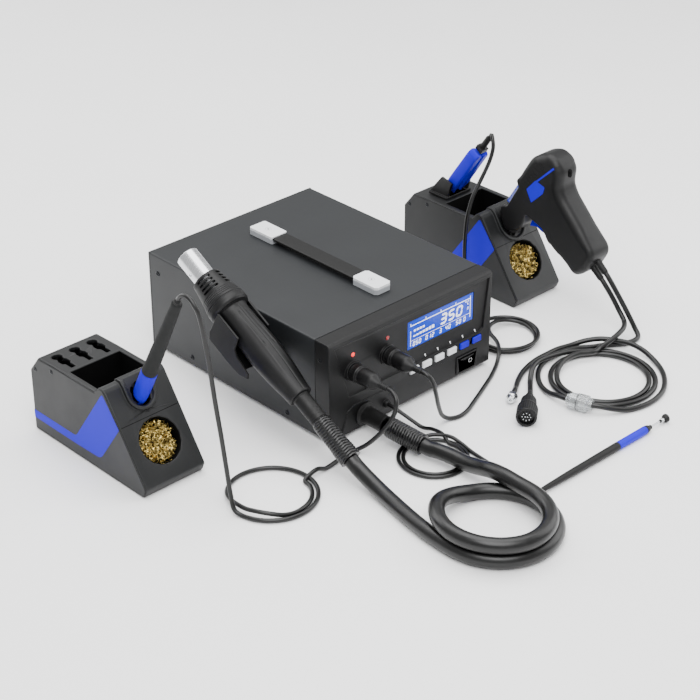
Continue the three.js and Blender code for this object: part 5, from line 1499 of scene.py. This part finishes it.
class StationColours(bpy.types.PropertyGroup):
    case: colour("Case", "Powder coat of the steel case", "#1a1c1e")
    black: colour("Black mouldings", "Front, handles and connectors", "#09090a")
    holder: colour("Holders", "Dark grey of the two holders", "#131415")
    blue: colour("Blue parts", "Grips, tweezers, trigger and printed panels", "#1c00c4")
    display: colour("Display", "Backlight of the display", "#1c3cb4")
    bench: colour("Bench", "Pale surface under the station", "#fbfbfb")


class StationLight(bpy.types.PropertyGroup):
    key: FloatProperty(name="Key", description="Power of the main light", default=34, min=0, unit="POWER")
    top: FloatProperty(name="Top", description="Power of the overhead light", default=46, min=0,
                       unit="POWER")
    fill: FloatProperty(name="Fill", description="Power of the light from the right", default=18, min=0,
                        unit="POWER")
    back: FloatProperty(name="Back", description="Power of the light from behind", default=16, min=0,
                        unit="POWER")
    room: FloatProperty(name="Room", description="Strength of the even room light", default=0.75, min=0)


class StationCamera(bpy.types.PropertyGroup):
    lens: FloatProperty(name="Lens", description="Focal length", default=97.714, unit="CAMERA")
    place: FloatVectorProperty(name="Place", description="Camera place in station millimetres", size=3,
                               default=(-1175.6, -1281.5, 1007.7))
    side_angle: FloatProperty(name="Side angle", description="Turn from the front",
                              default=math.radians(-43.595), unit="ROTATION")
    height_angle: FloatProperty(name="Height angle", description="Angle looked down",
                                default=math.radians(29.954), unit="ROTATION")


STEPS = ("stage", "cords", "case", "front", "strap", "handpiece", "cradle", "hose_guard", "holders",
         "iron", "pen",
         "tweezers", "desolder")


class STATION_PT_panel(bpy.types.Panel):
    """Lists the colours, the lights and the steps of the station"""
    bl_idname, bl_label = "STATION_PT_panel", "Rework Station"
    bl_space_type, bl_region_type, bl_category = "VIEW_3D", "UI", "Rework Station"

    def draw(self, context):
        for group in ("station_colours", "station_light", "station_camera"):
            box = self.layout.box()
            for name in getattr(context.scene, group).bl_rna.properties.keys()[1:]:
                box.prop(getattr(context.scene, group), name)
        for step in STEPS:
            self.layout.operator("station." + step)


CLASSES = (StationColours, StationLight, StationCamera, STATION_OT_cords, STATION_OT_stage, STATION_OT_case,
           STATION_OT_front, STATION_OT_strap, STATION_OT_handpiece, STATION_OT_cradle,
           STATION_OT_hose_guard,
           STATION_OT_holders, STATION_OT_iron, STATION_OT_pen, STATION_OT_tweezers, STATION_OT_desolder,
           STATION_PT_panel)


def register():
    for kind in CLASSES:
        bpy.utils.register_class(kind)
    bpy.types.Scene.station_colours = PointerProperty(type=StationColours)
    bpy.types.Scene.station_light = PointerProperty(type=StationLight)
    bpy.types.Scene.station_camera = PointerProperty(type=StationCamera)


def unregister():
    del bpy.types.Scene.station_camera, bpy.types.Scene.station_light, bpy.types.Scene.station_colours
    for kind in reversed(CLASSES):
        bpy.utils.unregister_class(kind)


def main():
    register()
    for step in STEPS:
        getattr(bpy.ops.station, step)()


if __name__ == "__main__":
    main()
